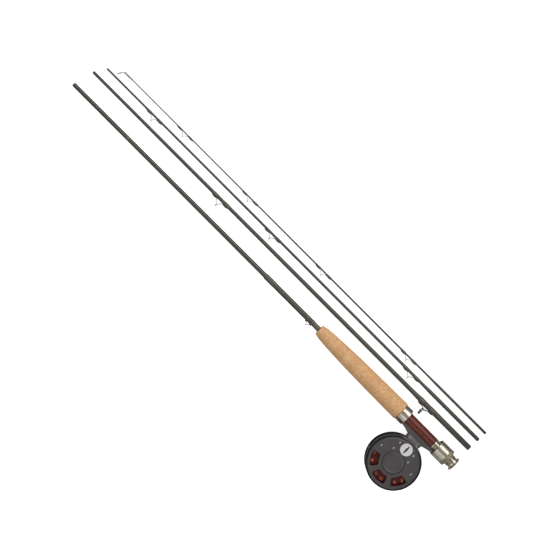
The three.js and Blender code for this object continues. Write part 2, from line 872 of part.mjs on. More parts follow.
function counterweight() {
  return turned('z', [
    [0, handleFace - counterweightHeight],
    [counterweightRadius - 0.6, handleFace - counterweightHeight],
    [counterweightRadius, handleFace - counterweightHeight + 0.6],
    [counterweightRadius, handleFace],
    [postRadius, handleFace],
    [postRadius, frontFlange - 0.1],
    [0, frontFlange - 0.1],
  ], small);
}

const capFloor = 0.6;
const buttonBack = handleFace - capFloor - buttonTravel - 0.2;
const buttonFront = handleFace - hubCapHeight - 1.2;

function hubCap() {
  return turned('z', [
    [0, handleFace],
    [hubCapRadius, handleFace],
    [hubCapRadius, handleFace - hubCapHeight + 1.2],
    [hubCapRadius - 1.2, handleFace - hubCapHeight],
    [buttonRadius + gap, handleFace - hubCapHeight],
    [buttonRadius + gap, handleFace - capFloor],
    [0, handleFace - capFloor],
  ], medium);
}

function releaseButton() {
  const inside = buttonRadius - 0.6;
  return turned('z', [
    [0, buttonFront + 0.8],
    [inside, buttonFront + 0.8],
    [inside, buttonBack],
    [buttonRadius, buttonBack],
    [buttonRadius, buttonFront + 0.4],
    [buttonRadius - 0.5, buttonFront],
    [0, buttonFront],
  ], small);
}

function releaseSpring() {
  const wireRadius = 0.18;
  const coil = buttonRadius - 0.6 - gap - wireRadius;
  const top = handleFace - capFloor - gap - wireRadius;
  const bottom = buttonFront + 0.8 + buttonTravel + 0.1 + wireRadius;
  const turns = 2.5;
  const points = [];
  for (let i = 0; i <= turns * 8; i += 1) {
    const turn = (i / 8) * 2 * Math.PI;
    const height = top + (bottom - top) * (i / (turns * 8));
    points.push(new THREE.Vector3(coil * Math.cos(turn), coil * Math.sin(turn), height));
  }
  return wire(points, wireRadius, turns * 10, 4);
}

// ---------------------------------------------------------------- guides

function strippingFrame(blank) {
  const wireRadius = 0.7;
  const centre = -strippingGuideStandoff;
  const inner = strippingRingRadius - strippingFrameWall;
  const hoop = ring('x', inner, strippingRingRadius, -0.9, 0.9, medium).translate(0, centre, 0);
  const seat = -(blank + gap / 2 + wireRadius);
  const onHoop = (turn, x) => new THREE.Vector3(
    x,
    centre + (strippingRingRadius - 0.1) * Math.cos(deg(turn)),
    (strippingRingRadius - 0.1) * Math.sin(deg(turn)),
  );
  const leg = (turn, away) => wire([
    onHoop(turn, 0),
    onHoop(turn, 0).lerp(new THREE.Vector3(away * 7, seat, 0), 0.55),
    new THREE.Vector3(away * 7.5, seat, 0),
    new THREE.Vector3(away * 10, seat, 0),
    new THREE.Vector3(away * 15, seat, 0),
  ], wireRadius, 8, 5);
  const shortLeg = wire([
    onHoop(0, 0),
    new THREE.Vector3(-1.6, seat - 0.6, 0),
    new THREE.Vector3(-4, seat, 0),
    new THREE.Vector3(-11, seat, 0),
  ], wireRadius, 6, 5);
  return joined(hoop, leg(48, 1), leg(-48, 1), shortLeg);
}

function ceramicRing() {
  const outer = strippingRingRadius - strippingFrameWall - 0.15;
  const half = ceramicWidth / 2;
  return turned('x', [
    [outer - ceramicWall, -half + 0.4],
    [outer - ceramicWall * 0.6, -half],
    [outer, -half],
    [outer, half],
    [outer - ceramicWall * 0.6, half],
    [outer - ceramicWall, half - 0.4],
  ], medium);
}

// drawn with x = 0 at the blank's thin end
function tipTop(size) {
  const inner = size.tip + 0.15 + gap / 2;
  const outer = inner + tipTubeWall;
  const sleeve = turned('x', [
    [inner, tipTubeLength],
    [outer, tipTubeLength],
    [outer, 0],
    [outer * 0.7, -1.2],
    [0, -1.2],
    [0, -gap],
    [inner, -gap],
  ].reverse(), tiny);
  const tilt = Math.atan2(tipRingReach, tipRingDrop);
  const centre = new THREE.Vector3(-tipRingReach, -tipRingDrop, 0);
  const hoopRadius = tipRingRadius;
  const hoop = ring('x', hoopRadius, hoopRadius + 0.8, -0.45, 0.45, small).rotateZ(-tilt * 0.9)
    .translate(centre.x, centre.y, 0);
  const arm = (side) => wire([
    new THREE.Vector3(3, -outer * 0.3, side * outer * 0.8),
    new THREE.Vector3(0.5, -outer * 0.4, side * outer * 0.9),
    new THREE.Vector3(-tipRingReach * 0.55, -tipRingDrop * 0.45, side * (hoopRadius * 0.8)),
    new THREE.Vector3(-tipRingReach, -tipRingDrop, side * (hoopRadius + 0.4)),
  ], tipRingWire, 6, 5);
  return joined(sleeve, hoop, arm(1), arm(-1));
}

// ---------------------------------------------------------------- the reel, put together

function reel() {
  const group = new THREE.Group();
  const add = (name, geometry, material) => addPiece(group, name, geometry, material);
  add('reel_back_plate', backPlate(), charcoal);
  add('reel_front_ring', frontRing(), blackAnodised);
  add('foot_bridge', footBridge(), blackAnodised);
  [180, 105, -105].forEach((angle, i) => {
    const pillar = rod('z', pillarRadius, ringInner + gap, rimEnd - gap, tiny);
    const circle = (frameRadius + rimInnerRadius) / 2 - 0.2;
    const mesh = add(`frame_pillar_${i + 1}`, pillar, blackAnodised);
    mesh.position.set(...onReel(circle, angle), 0);
  });
  add('back_badge', badge(), steel).position.set(...onReel(badgeCircle, 0), 0);
  ['left', 'right'].forEach((hand, i) => {
    const side = i === 0 ? -1 : 1;
    const pivot = onReel(pawlPivotCircle, side * pawlPivotAngle);
    add(`pawl_screw_${hand}`, backScrew(gearBottom + 0.1), steel).position.set(...pivot, 0);
    springScrewAngles.forEach((angle, k) => {
      const spot = onReel(springScrewCircle, side * angle);
      const screw = add(`spring_screw_${hand}_${k + 1}`, backScrew(gearBottom + 0.2), steel);
      screw.position.set(...spot, 0);
    });
    add(`pawl_spring_${hand}`, pawlSpring(side), steel);
    const pawl = add(`click_pawl_${hand}`, clickPawl(), steel);
    pawl.position.set(...pivot, 0);
    pawl.rotation.z = -side * deg(pawlPivotAngle);
  });
  add('spindle', spindle(), steel);
  const washerBore = hubNeckRadius + gap;
  const plateBore = spindleRadius + gap;
  const discBottom = gearTop + gap;
  const plateBottom = dragDiscTop + gap;
  add('drag_disc', ring('z', washerBore, dragDiscRadius, discBottom, dragDiscTop, medium), cork);
  add('pressure_plate', ring('z', plateBore, dragDiscRadius, plateBottom, pressureTop, medium), steel);
  add('disc_spring', discSpring(), steel);
  add('drag_dial', dragDial(), charcoal);
  add('spool', spool(), burgundy);
  add('line_winding', lineWinding(), backing);
  add('click_gear', clickGear(), bronze);
  add('spool_bush', spoolBush(), bronze);
  const handleSpot = [handleCircle * Math.cos(deg(handleAngle)), handleCircle * Math.sin(deg(handleAngle))];
  add('handle_post', handlePost(), steel).position.set(...handleSpot, 0);
  add('handle_knob', handleKnob(), blackAnodised).position.set(...handleSpot, 0);
  add('counterweight', counterweight(), steel).position.set(-handleSpot[0], -handleSpot[1], 0);
  add('hub_cap', hubCap(), charcoal);
  add('release_button', releaseButton(), steel);
  add('release_spring', releaseSpring(), steel);
  return group;
}

// ---------------------------------------------------------------- the four sections

function buttSection() {
  const group = new THREE.Group();
  const add = (name, geometry, material) => addPiece(group, name, geometry, material);
  add('butt_blank', buttBlank(), carbon);
  const sleeveStart = gripEnd + windingLength + 2 * gap;
  const sleeveBore = buttRadius + gap / 2;
  const sleeveEnd = sleeveStart + sleeveLength;
  add('butt_sleeve', ring('x', sleeveBore, sleeveRadius, -sleeveEnd, -sleeveStart, small), carbon);
  const windingStart = gripEnd + gap;
  const windingEnd = windingStart + windingLength;
  add('grip_winding', ring('x', sleeveBore, windingRadius, -windingEnd, -windingStart, small), thread);
  const keeper = loopOnFeet({
    blank: sleeveRadius,
    standoff: keeperStandoff,
    loop: 2.2,
    wireRadius: 0.5,
    foot: 3,
    reach: 2.4,
  });
  add('hook_keeper', keeper, nickelSilver).position.x = -sleeveStart - 6;
  add('cork_grip', corkGrip(), cork);
  add('fixed_hood', fixedHood(), nickelSilver);
  add('seat_insert', seatInsert(), rosewood);
  add('threaded_barrel', threadedBarrel(), nickelSilver);
  add('sliding_hood', slidingHood(), nickelSilver);
  add('locking_nut', lockingNut(), nickelSilver);
  add('butt_cap', buttCap(), nickelSilver);
  add('reel_foot', reelFoot(), charcoal).position.x = reelPlace;
  [-footScrewSpread, footScrewSpread].forEach((x, i) => {
    const screw = add(`foot_screw_${i + 1}`, footScrew(), steel);
    screw.position.set(reelPlace + x, -reelDrop, footScrewMiddle);
  });
  const reelGroup = reel();
  reelGroup.position.set(reelPlace, -reelDrop, 0);
  group.add(reelGroup);
  return group;
}

function looseSection(key) {
  const size = looseSections[key];
  const group = new THREE.Group();
  addPiece(group, `${key}_blank`, looseBlank(size), carbon);
  snakeGuides.filter((guide) => guide.section === key).forEach((guide) => {
    const reach = 5.4;
    const foot = guideFootLength;
    const loopShape = loopOnFeet({
      blank: blankRadius(size, guide.place - reach - foot),
      standoff: guide.standoff,
      loop: guide.loop,
      wireRadius: guide.wire,
      foot,
      reach,
    });
    addPiece(group, guide.name, loopShape, steel).position.x = -guide.place;
  });
  return group;
}

// lays a section on the ground: both ends touch it, and the guides turn up by the roll
function lay(group, { length, tip, thick, thickPlace, y, roll, yaw }) {
  const pitch = Math.atan2(thick - tip, length - thickPlace);
  group.rotation.set(-roll, -pitch, yaw, 'ZYX');
  group.position.set(0, y, length * Math.sin(pitch) + tip * Math.cos(pitch));
  return pitch;
}

function outfit() {
  const group = new THREE.Group();

  // the butt section lies on its cork, its far end and the edge of the reel's handle knob
  const butt = buttSection();
  const pitch = Math.atan2(gripRadius - buttTipRadius, buttLength - seatLength - gap);
  const knobX = reelPlace + handleCircle * Math.cos(deg(handleAngle));
  const knobOut = reelDrop - handleCircle * Math.sin(deg(handleAngle)) - knobEndRadius;
  const axisStart = buttLength * Math.sin(pitch) + buttTipRadius * Math.cos(pitch);
  const axisHeight = (axisStart + knobX * Math.sin(pitch)) / Math.cos(pitch);
  const slope = Math.atan2(-knobBottom, knobOut);
  const roll = slope - Math.asin(axisHeight / Math.hypot(knobBottom, knobOut));
  const yaw = Math.asin(Math.tan(pitch) * Math.tan(roll));
  const length = buttLength;
  const thickPlace = seatLength + gap;
  lay(butt, { length, tip: buttTipRadius, thick: gripRadius, thickPlace, y: 0, roll, yaw });
  group.add(butt);

  // the other three lie beside it, guides on the same side
  Object.entries(looseSections).forEach(([key, size]) => {
    const section = looseSection(key);
    if (key === 'second') {
      const strippingFrameShape = strippingFrame(size.ferrule);
      addPiece(section, 'stripping_guide', strippingFrameShape, steel).position.x = -strippingGuidePlace;
      const ringMesh = addPiece(section, 'stripping_ring', ceramicRing(), ceramic);
      ringMesh.position.set(-strippingGuidePlace, -strippingGuideStandoff, 0);
    }
    if (key === 'tip') {
      addPiece(section, 'tip_top', tipTop(size), steel).position.x = -size.length;
    }
    lay(section, { ...size, thick: size.ferrule, thickPlace: 0, roll: deg(size.roll), yaw: 0 });
    group.add(section);
  });

  // stand the layout centred on the origin
  group.updateMatrixWorld(true);
  const box = new THREE.Box3().setFromObject(group, true);
  group.position.set(-(box.min.x + box.max.x) / 2, -(box.min.y + box.max.y) / 2, -box.min.z);
  group.updateMatrixWorld(true);
  return group;
}

export default outfit();
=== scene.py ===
"""Four-piece fly rod laid out unassembled, with its fly reel on the butt section.

Every piece is made in the frame of the section that it belongs to, in millimetres: X runs to the
thick end, the guides and the reel stand on the -Y side, and Z is the reel's own axis.
"""

import json
import math

import bmesh
import bpy
import numpy as np
from mathutils import Matrix, Vector


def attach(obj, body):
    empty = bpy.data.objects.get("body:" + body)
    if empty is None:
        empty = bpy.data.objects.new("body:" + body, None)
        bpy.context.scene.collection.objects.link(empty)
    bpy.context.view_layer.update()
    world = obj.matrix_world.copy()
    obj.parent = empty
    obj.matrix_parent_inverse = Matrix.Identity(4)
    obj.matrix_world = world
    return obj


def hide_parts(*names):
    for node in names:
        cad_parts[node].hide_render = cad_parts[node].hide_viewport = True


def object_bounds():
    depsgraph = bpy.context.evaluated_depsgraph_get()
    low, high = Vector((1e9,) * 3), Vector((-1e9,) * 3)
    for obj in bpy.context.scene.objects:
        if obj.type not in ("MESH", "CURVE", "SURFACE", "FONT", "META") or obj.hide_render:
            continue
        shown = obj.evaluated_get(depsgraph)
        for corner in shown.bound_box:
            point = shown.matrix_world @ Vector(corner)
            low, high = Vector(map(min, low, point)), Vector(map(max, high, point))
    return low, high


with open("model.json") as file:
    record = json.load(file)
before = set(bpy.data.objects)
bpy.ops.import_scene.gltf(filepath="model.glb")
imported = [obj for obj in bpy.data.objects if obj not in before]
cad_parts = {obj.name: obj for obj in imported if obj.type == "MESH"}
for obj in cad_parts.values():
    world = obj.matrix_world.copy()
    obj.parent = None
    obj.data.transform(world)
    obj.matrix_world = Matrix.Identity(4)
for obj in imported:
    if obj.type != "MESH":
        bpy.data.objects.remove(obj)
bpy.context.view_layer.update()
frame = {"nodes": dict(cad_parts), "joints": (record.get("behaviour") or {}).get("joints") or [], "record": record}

MM = 0.001
rng = np.random.default_rng(7)

# ------------------------------------------------------------------ sizes of the real pieces, mm

GAP = 0.3

# butt section, distances from the butt end
BUTT_LENGTH, BUTT_TIP, BUTT_RADIUS, BUTT_TAPER_END = 745.0, 3.1, 3.5, 370.0
SLEEVE_START, SLEEVE_END, SLEEVE_RADIUS = 275.7, 369.7, 4.1
WINDING_START, WINDING_END, WINDING_RADIUS = 264.4, 275.4, 3.95
KEEPER_PLACE, KEEPER_STANDOFF = 281.7, 9.2
CAP_LENGTH, CAP_RADIUS = 5.0, 10.9
NUT_START, NUT_END = 12.0, 16.8
HOOD_START, HOOD_MOUTH = 17.1, 34.1
FIXED_MOUTH, SEAT_END = 92.1, 104.1
FIXED_FLOOR = 101.1
INSERT_START, INSERT_END = 41.4, 100.8
GRIP_START, GRIP_END = 104.4, 264.1
GRIP_RADIUS, GRIP_FRONT, CORK_RING, CORK_PORES = 13.7, 8.2, 12.7, 260
SEAT_RADIUS, HOOD_RADIUS, POCKET_RADIUS = 8.85, 12.75, 11.8
KNURL_DEPTH, KNURL_PITCH = 0.07, 1.15
THREAD_PITCH, THREAD_DEPTH = 1.2, 0.55
NUT_TEETH, NUT_TOOTH_DEPTH = 66, 0.2

# reel, heights along its axis
FRAME_RADIUS, RIM_INNER = 38.8, 36.2
OUTER_FACE, BACK_OUTER, BACK_INNER, RIM_END, RIM_TOP = 14.0, 13.4, 10.8, 5.0, 14.4
RING_INNER = -8.5
SPOOL_RADIUS, SPOOL_FRONT, FRONT_FLANGE, REAR_FLANGE, SPOOL_BACK = 34.7, -13.0, -11.8, 4.6, 5.8
ARBOR_RADIUS, LINE_RADIUS = 16.2, 31.2
HUB_RADIUS, HUB_NECK, GEAR_TOP = 7.2, 6.2, 7.5
BUSH_RADIUS, PLATE_BORE = 4.6, 3.3
DIAL_RADIUS, DIAL_BOTTOM, DIAL_TOP, SPINDLE_TOP = 15.5, 12.7, 14.9, 13.9
DIAL_NOTCHES, DIAL_NOTCH_DEPTH = 40, 0.18
PILLAR_RADIUS, PILLAR_WAIST, PILLAR_ANGLES = 1.5, 1.15, (180, 105, -105)
WINDOW_INNER, WINDOW_OUTER, WINDOW_HALF, WINDOW_CORNER = 20.5, 32.6, 21.0, 2.6
WINDOW_ANGLES = (180, 122, -122)
BADGE_RADIUS, BADGE_CIRCLE, BADGE_BOTTOM, BADGE_TOP = 8.8, 25.0, 12.8, 14.0
SCREW_HEAD, SCREW_SHANK, SCREW_SEAT, SCREW_TOP, SCREW_END = 1.6, 0.8, 13.0, 13.9, 6.3
FOOT_SCREW_PLACE, FOOT_SCREW_HOLE, FOOT_SCREW_HEAD = 6.0, 1.5, 2.6
PAWL_CIRCLE, PAWL_ANGLE = 20.0, 44.0
SPRING_CIRCLE, SPRING_ANGLES = 29.0, (79, 27)
REAR_PORT_CIRCLE, REAR_PORT_RADIUS, REAR_PORTS = 28.4, 2.6, 18
FRONT_PORT_RADIUS, FRONT_PORTS = 3.3, 12
INNER_PORT_CIRCLE, INNER_PORT_RADIUS = 11.1, 2.6
HANDLE_CIRCLE, HANDLE_ANGLE = 26.0, -70.0
HANDLE_FACE = -13.3
KNOB_TOP, KNOB_BOTTOM, KNOB_RADIUS, KNOB_END, KNOB_NECK = -15.0, -36.0, 6.1, 4.8, 3.6
POST_RADIUS, POST_HEAD = 1.6, 2.6
HUB_CAP_RADIUS, HUB_CAP_HEIGHT, BUTTON_RADIUS = 8.0, 4.0, 2.6

# reel foot, x counted from the reel's axis
REEL_PLACE, REEL_DROP = -63.1, 56.8
MOUTH_TO_REEL = 29.0
FRONT_TOE, REAR_TOE = -36.0, 34.2
TOE_RADIUS = 11.4
FOOT_HALF_WIDTH, NECK_HALF, NECK_DEPTH, NECK_HALF_WIDTH = 6.5, 12.0, 18.0, 9.5

# loose sections: length, radius at the thin end, of the body and of the ferrule, bore
SECTIONS = {
    "second": dict(length=735.5, tip=2.2, body=3.25, ferrule=3.95, bore=3.25),
    "third": dict(length=724.5, tip=1.45, body=2.2, ferrule=2.8, bore=2.3),
    "tip": dict(length=702.5, tip=0.8, body=1.5, ferrule=1.95, bore=1.5),
}
FERRULE_LENGTH, FERRULE_FLARE, FERRULE_DEPTH = 90.0, 25.0, 60.0
WALL, TIP_BORE_DEPTH = 0.75, 12.0
SNAKE_GUIDES = [
    ("snake_guide_1", "second", 487, 12, 3.4, 0.5),
    ("snake_guide_2", "third", 131, 10.8, 3.2, 0.48),
    ("snake_guide_3", "third", 402, 9.2, 2.9, 0.46),
    ("snake_guide_4", "third", 632, 8.6, 2.7, 0.44),
    ("snake_guide_5", "tip", 150.5, 8.2, 2.5, 0.42),
    ("snake_guide_6", "tip", 316.5, 7.9, 2.4, 0.4),
    ("snake_guide_7", "tip", 459.5, 7.6, 2.3, 0.4),
    ("snake_guide_8", "tip", 585.5, 7.4, 2.2, 0.4),
]
GUIDE_REACH, GUIDE_FOOT = 5.4, 8.0
STRIPPER_PLACE, STRIPPER_STANDOFF, STRIPPER_RADIUS = 84.5, 11.4, 5.2


# ------------------------------------------------------------------ frames of the sections

def frame_matrix(origin, x, z):
    """Matrix from millimetres in a section's own frame to the row frame in metres."""
    x, z = Vector(x).normalized(), Vector(z)
    y = z.cross(x).normalized()
    z = x.cross(y)
    columns = Matrix((x, y, z)).transposed().to_4x4()
    return Matrix.Translation(Vector(origin)) @ columns @ Matrix.Scale(MM, 4)


def corners(node):
    return np.unique(np.round([v.co[:] for v in frame["nodes"][node].data.vertices], 7), axis=0)


def section_matrix(blank, guides):
    """A loose section's frame, from the middles of its two ends and the side of its guides."""
    points = corners(blank)
    along = points[:, 0]
    end_depth = 0.2 * MM
    thick = Vector(points[along > along.max() - end_depth].mean(0))
    thin = Vector(points[along < along.min() + end_depth].mean(0))
    x = (thick - thin).normalized()
    standing = Vector(np.mean([corners(g).mean(0) for g in guides], axis=0)) - thick
    y = -(standing - x * standing.dot(x))
    return frame_matrix(thick, x, x.cross(y))


joints = {joint["name"]: joint for joint in frame["joints"]}
butt_face = next(m for m in frame["record"]["mounts"] if m["name"] == "butt_face")
ROD_AXIS = Vector(butt_face["axis"])
REEL_AXIS = Vector(joints["spool_spin"]["axis"])
BUTT = frame_matrix(butt_face["pos_m"], ROD_AXIS, REEL_AXIS)
REEL = frame_matrix(joints["spool_spin"]["pos_m"], ROD_AXIS, REEL_AXIS)
LOOSE = {
    key: section_matrix(f"{key}_blank", [g[0] for g in SNAKE_GUIDES if g[1] == key])
    for key in SECTIONS
}
LOOSE_BODY = {key: f"{key}_section" for key in SECTIONS}


# ------------------------------------------------------------------ camera, light and floor

VIEW_DISTANCE, AIM_FROM_BUTT_END, AIM_ASIDE = 1.47, 0.351, 0.0103  # metres
VIEW_LEAN = 1.4  # degrees off the reel's axis, towards the far side of the rod
LENS, SENSOR = 68.2, 36.0
LAMP_DISTANCE = 1.9
WORLD_GLOW = 0.36


def camera_and_studio():
    """Looks at the reel's back plate, with the rod running from lower right to upper left."""
    aside = REEL_AXIS.cross(ROD_AXIS).normalized()
    aim = Vector(butt_face["pos_m"]) - ROD_AXIS * AIM_FROM_BUTT_END + aside * AIM_ASIDE
    lean = math.radians(VIEW_LEAN)
    back = REEL_AXIS * math.cos(lean) + aside * math.sin(lean)
    across = aside * math.cos(lean) - REEL_AXIS * math.sin(lean)
    right = (ROD_AXIS + across).normalized()
    up = back.cross(right)
    data = bpy.data.cameras.new("camera")
    data.lens, data.sensor_width = LENS, SENSOR
    data.clip_start, data.clip_end = 0.01, 50
    camera = bpy.data.objects.new("camera", data)
    turn = Matrix((right, up, back)).transposed().to_4x4()
    camera.matrix_world = Matrix.Translation(aim + back * VIEW_DISTANCE) @ turn
    bpy.context.scene.collection.objects.link(camera)
    bpy.context.scene.camera = camera
    bpy.context.scene.view_settings.view_transform = "Standard"

    def softbox(name, lean, along, long, wide, glow, colour=(1, 1, 1)):
        """Lean is counted from straight above the reel towards the far side of the rod."""
        lean = math.radians(lean)
        outward = REEL_AXIS * math.cos(lean) + aside * math.sin(lean)
        light = bpy.data.lights.new(name, "AREA")
        light.shape, light.size, light.size_y = "RECTANGLE", long, wide
        light.energy, light.color = glow * math.pi * long * wide, colour
        lamp = bpy.data.objects.new(name, light)
        axes = Matrix((ROD_AXIS, outward.cross(ROD_AXIS), outward)).transposed().to_4x4()
        place = aim + outward * LAMP_DISTANCE + ROD_AXIS * along
        lamp.matrix_world = Matrix.Translation(place) @ axes
        lamp.visible_camera = False
        bpy.context.scene.collection.objects.link(lamp)

    softbox("key_softbox", 48, -0.4, 2.6, 1.1, 2.6, (1.0, 0.99, 0.97))
    softbox("near_softbox", -25, 0.0, 2.2, 0.45, 1.3)
    softbox("fill_softbox", -55, 0.2, 2.2, 0.8, 0.45, (0.98, 0.99, 1.0))
    world = bpy.data.worlds.new("studio")
    world.use_nodes = True
    background = world.node_tree.nodes["Background"]
    background.inputs["Color"].default_value = (1.0, 1.0, 1.0, 1)
    background.inputs["Strength"].default_value = WORLD_GLOW
    bpy.context.scene.world = world


camera_and_studio()


# ------------------------------------------------------------------ finishes

def linear(hex_colour):
    """sRGB hex to linear RGBA."""
    parts = [int(hex_colour[i:i + 2], 16) / 255 for i in (1, 3, 5)]
    return (*[c / 12.92 if c <= 0.04045 else ((c + 0.055) / 1.055) ** 2.4 for c in parts], 1)


def add(tree, kind, sockets=None, out=0, **settings):
    """Adds a node and gives back one of its outputs. A socket's value is a number, a colour or
    another node's output, which is linked to it."""
    made = tree.nodes.new("ShaderNode" + kind)
    for key, value in settings.items():
        setattr(made, key, value)
    for key, value in (sockets or {}).items():
        if isinstance(value, bpy.types.NodeSocket):
            tree.links.new(value, made.inputs[key])
        else:
            made.inputs[key].default_value = value
    return made.outputs[out]


def begin(name, **values):
    """A new finish: its tree, its shader with the even values set on it, and its place in mm."""
    made = bpy.data.materials.new(name)
    made.use_nodes = True
    tree = made.node_tree
    shader = tree.nodes["Principled BSDF"]
    for key, value in values.items():
        shader.inputs[key.replace("_", " ").title().replace("Ior", "IOR")].default_value = value
    return made, tree, shader, add(tree, "Attribute", out="Vector", attribute_name="place_mm")


def mixed(tree, share, first, second):
    """Two colours, each a hex value or an output, mixed by a share from 0 to 1."""
    pair = [linear(c) if isinstance(c, str) else c for c in (first, second)]
    return add(tree, "Mix", {"Factor": share, 6: pair[0], 7: pair[1]}, out=2, data_type="RGBA")


def mottled(tree, field, low, high, first, second, most=1.0):
    """Two colours mixed by how far a field has come from low to high, at most by most."""
    share = add(tree, "MapRange", {"Value": field, "From Min": low, "From Max": high,
                                   "To Max": most})
    return mixed(tree, share, first, second)


def dress(tree, shader, colour, relief, strength, depth, dull=None, rough=None):
    """Joins a finish's colour, fine relief and range of roughness to its shader."""
    tree.links.new(colour, shader.inputs["Base Color"])
    bump = add(tree, "Bump", {"Height": relief, "Strength": strength, "Distance": depth})
    tree.links.new(bump, shader.inputs["Normal"])
    if rough:
        spread = add(tree, "MapRange", {"Value": dull, "To Min": rough[0], "To Max": rough[1]})
        tree.links.new(spread, shader.inputs["Roughness"])
    return bump


def wave_scale(pitch):
    """Scale of a wave texture whose bands lie pitch millimetres apart."""
    return 1 / (math.pi * pitch)


def anodised_aluminium(name, dye, faded, rough, shine=0.5, black_from=None):
    """Bead-blasted and dyed anodised aluminium: satin, finely pebbled, paler where edges rub.
    black_from is the radius beyond which the part is dyed black, but for the side at the foot."""
    made, tree, shader, place = begin(name, metallic=shine)
    clouds = add(tree, "TexNoise", {"Vector": place, "Scale": 0.12, "Detail": 3})
    pebble = add(tree, "TexNoise", {"Vector": place, "Scale": 2.8, "Detail": 2})
    base = mottled(tree, clouds, 0.35, 0.65, dye, faded, 0.25)
    if black_from:
        flat = add(tree, "VectorMath", {0: place, 1: (1, 1, 0)}, operation="MULTIPLY")
        reach = add(tree, "VectorMath", {0: flat}, out="Value", operation="LENGTH")
        rim = add(tree, "MapRange", {"Value": reach, "From Min": black_from,
                                     "From Max": black_from + 0.15})
        to_foot = add(tree, "SeparateXYZ", {"Vector": place}, out="Y")
        away = add(tree, "MapRange", {"Value": to_foot, "From Min": RIM_INNER - 2,
                                      "From Max": RIM_INNER - 1.8, "To Min": 1.0, "To Max": 0.0})
        dyed = add(tree, "Math", {0: rim, 1: away}, operation="MULTIPLY")
        base = mixed(tree, dyed, base, "#121213")
    edge = add(tree, "NewGeometry", out="Pointiness")
    worn = mottled(tree, edge, 0.54, 0.66, base, faded, 0.5)
    dress(tree, shader, worn, pebble, 0.12, 0.00005, pebble, (rough - 0.06, rough + 0.08))
    return made


def turned_metal(name, colour, darker, rough, axis="X", pitch=0.25):
    """Metal turned on a lathe and polished: bright, with fine rings round its axis."""
    made, tree, shader, place = begin(name, metallic=1.0)
    rings = add(tree, "TexWave", {"Vector": place, "Scale": wave_scale(pitch), "Distortion": 0.6,
                                  "Detail": 1}, out="Fac", bands_direction=axis)
    tarnish = add(tree, "TexNoise", {"Vector": place, "Scale": 0.3, "Detail": 4,
                                     "Roughness": 0.6})
    base = mottled(tree, tarnish, 0.4, 0.75, colour, darker, 0.5)
    dress(tree, shader, base, rings, 0.1, 0.00004, tarnish, (rough - 0.08, rough + 0.1))
    return made


def clear_coated_carbon():
    """Sanded carbon fibre tube under olive-tinted lacquer: dark, glossy, faint spiral marks."""
    made, tree, shader, place = begin("clear_coated_carbon_fibre", metallic=0.35, coat_weight=0.85,
                                      coat_roughness=0.1, coat_ior=1.5)
    strands = add(tree, "Mapping", {"Vector": place, "Scale": (0.05, 1.6, 1.6)})
    fibre = add(tree, "TexNoise", {"Vector": strands, "Scale": 1.0, "Detail": 5,
                                   "Roughness": 0.65})
    base = mottled(tree, fibre, 0.3, 0.7, "#22231b", "#47483a")
    # the cellophane tape that the tube is rolled in leaves a ridge every 2 mm or so
    tape = add(tree, "TexWave", {"Vector": place, "Scale": wave_scale(2.0), "Distortion": 0.3},
               out="Fac", bands_direction="X")
    ridges = dress(tree, shader, base, tape, 0.12, 0.00008, fibre, (0.3, 0.5))
    tree.links.new(ridges, shader.inputs["Coat Normal"])
    return made


def varnished_thread(name, silk, painted_groove_shade):
    """Nylon winding thread under rod varnish: fine turns beneath a glossy, slightly wavy coat."""
    made, tree, shader, place = begin(name, roughness=0.45, coat_weight=1.0, coat_roughness=0.06,
                                      coat_ior=1.55)
    # real turns are 0.15 mm apart; these are drawn coarser, so that they show
    turns = add(tree, "TexWave", {"Vector": place, "Scale": wave_scale(0.49), "Distortion": 0.5,
                                  "Detail": 2}, out="Fac", bands_direction="X")
    lustre = add(tree, "TexNoise", {"Vector": place, "Scale": 0.8, "Detail": 3})
    # painted shade: the thread takes its lit silk colour on the crest of each turn and darkens to a painted shade
    # colour in the groove between turns, patchily with the lustre noise
    light = add(tree, "Math", {0: turns, 1: lustre}, operation="MULTIPLY")
    base = mottled(tree, light, 0.1, 0.5, painted_groove_shade, silk)
    dress(tree, shader, base, turns, 0.25, 0.00006)
    flow = add(tree, "Bump", {"Height": lustre, "Strength": 0.08, "Distance": 0.0001})
    tree.links.new(flow, shader.inputs["Coat Normal"])
    return made


def natural_cork():
    """Sanded cork rings glued face to face: matt, mottled, with brown pores and glue lines."""
    made, tree, shader, place = begin("sanded_natural_cork", specular_ior_level=0.25)
    mottle = add(tree, "TexNoise", {"Vector": place, "Scale": 0.28, "Detail": 6,
                                    "Roughness": 0.62})
    base = mottled(tree, mottle, 0.32, 0.7, "#f3c997", "#dba46e")
    # every ring is cut from another sheet, so each has a tint of its own
    along = add(tree, "SeparateXYZ", {"Vector": place}, out="X")
    count = add(tree, "Math", {0: along, 1: CORK_RING}, operation="DIVIDE")
    index = add(tree, "Math", {0: count}, operation="FLOOR")
    tint = add(tree, "TexWhiteNoise", {"W": index}, noise_dimensions="1D")
    toned = mottled(tree, tint, 0.0, 1.0, base, "#d3986a", 0.3)
    # pores: short brown flecks 1 to 3 mm long across each ring
    stretched = add(tree, "Mapping", {"Vector": place, "Scale": (0.42, 1.0, 1.0)})
    pores = add(tree, "TexNoise", {"Vector": stretched, "Scale": 0.95, "Detail": 4,
                                   "Roughness": 0.7})
    fleck = add(tree, "MapRange", {"Value": pores, "From Min": 0.6, "From Max": 0.72})
    flecked = mixed(tree, fleck, toned, "#7d4d2a")
    # glue line between two rings
    rest = add(tree, "Math", {0: count}, operation="FRACT")
    away = add(tree, "Math", {0: rest, 1: 0.5}, operation="SUBTRACT")
    size = add(tree, "Math", {0: away}, operation="ABSOLUTE")
    lined = mottled(tree, size, 0.475, 0.5, flecked, "#8f5f36", 0.35)
    grain = add(tree, "TexNoise", {"Vector": place, "Scale": 2.2, "Detail": 5})
    height = add(tree, "Math", {0: grain, 1: fleck}, operation="SUBTRACT")
    dress(tree, shader, lined, height, 0.5, 0.00018, mottle, (0.62, 0.85))
    return made


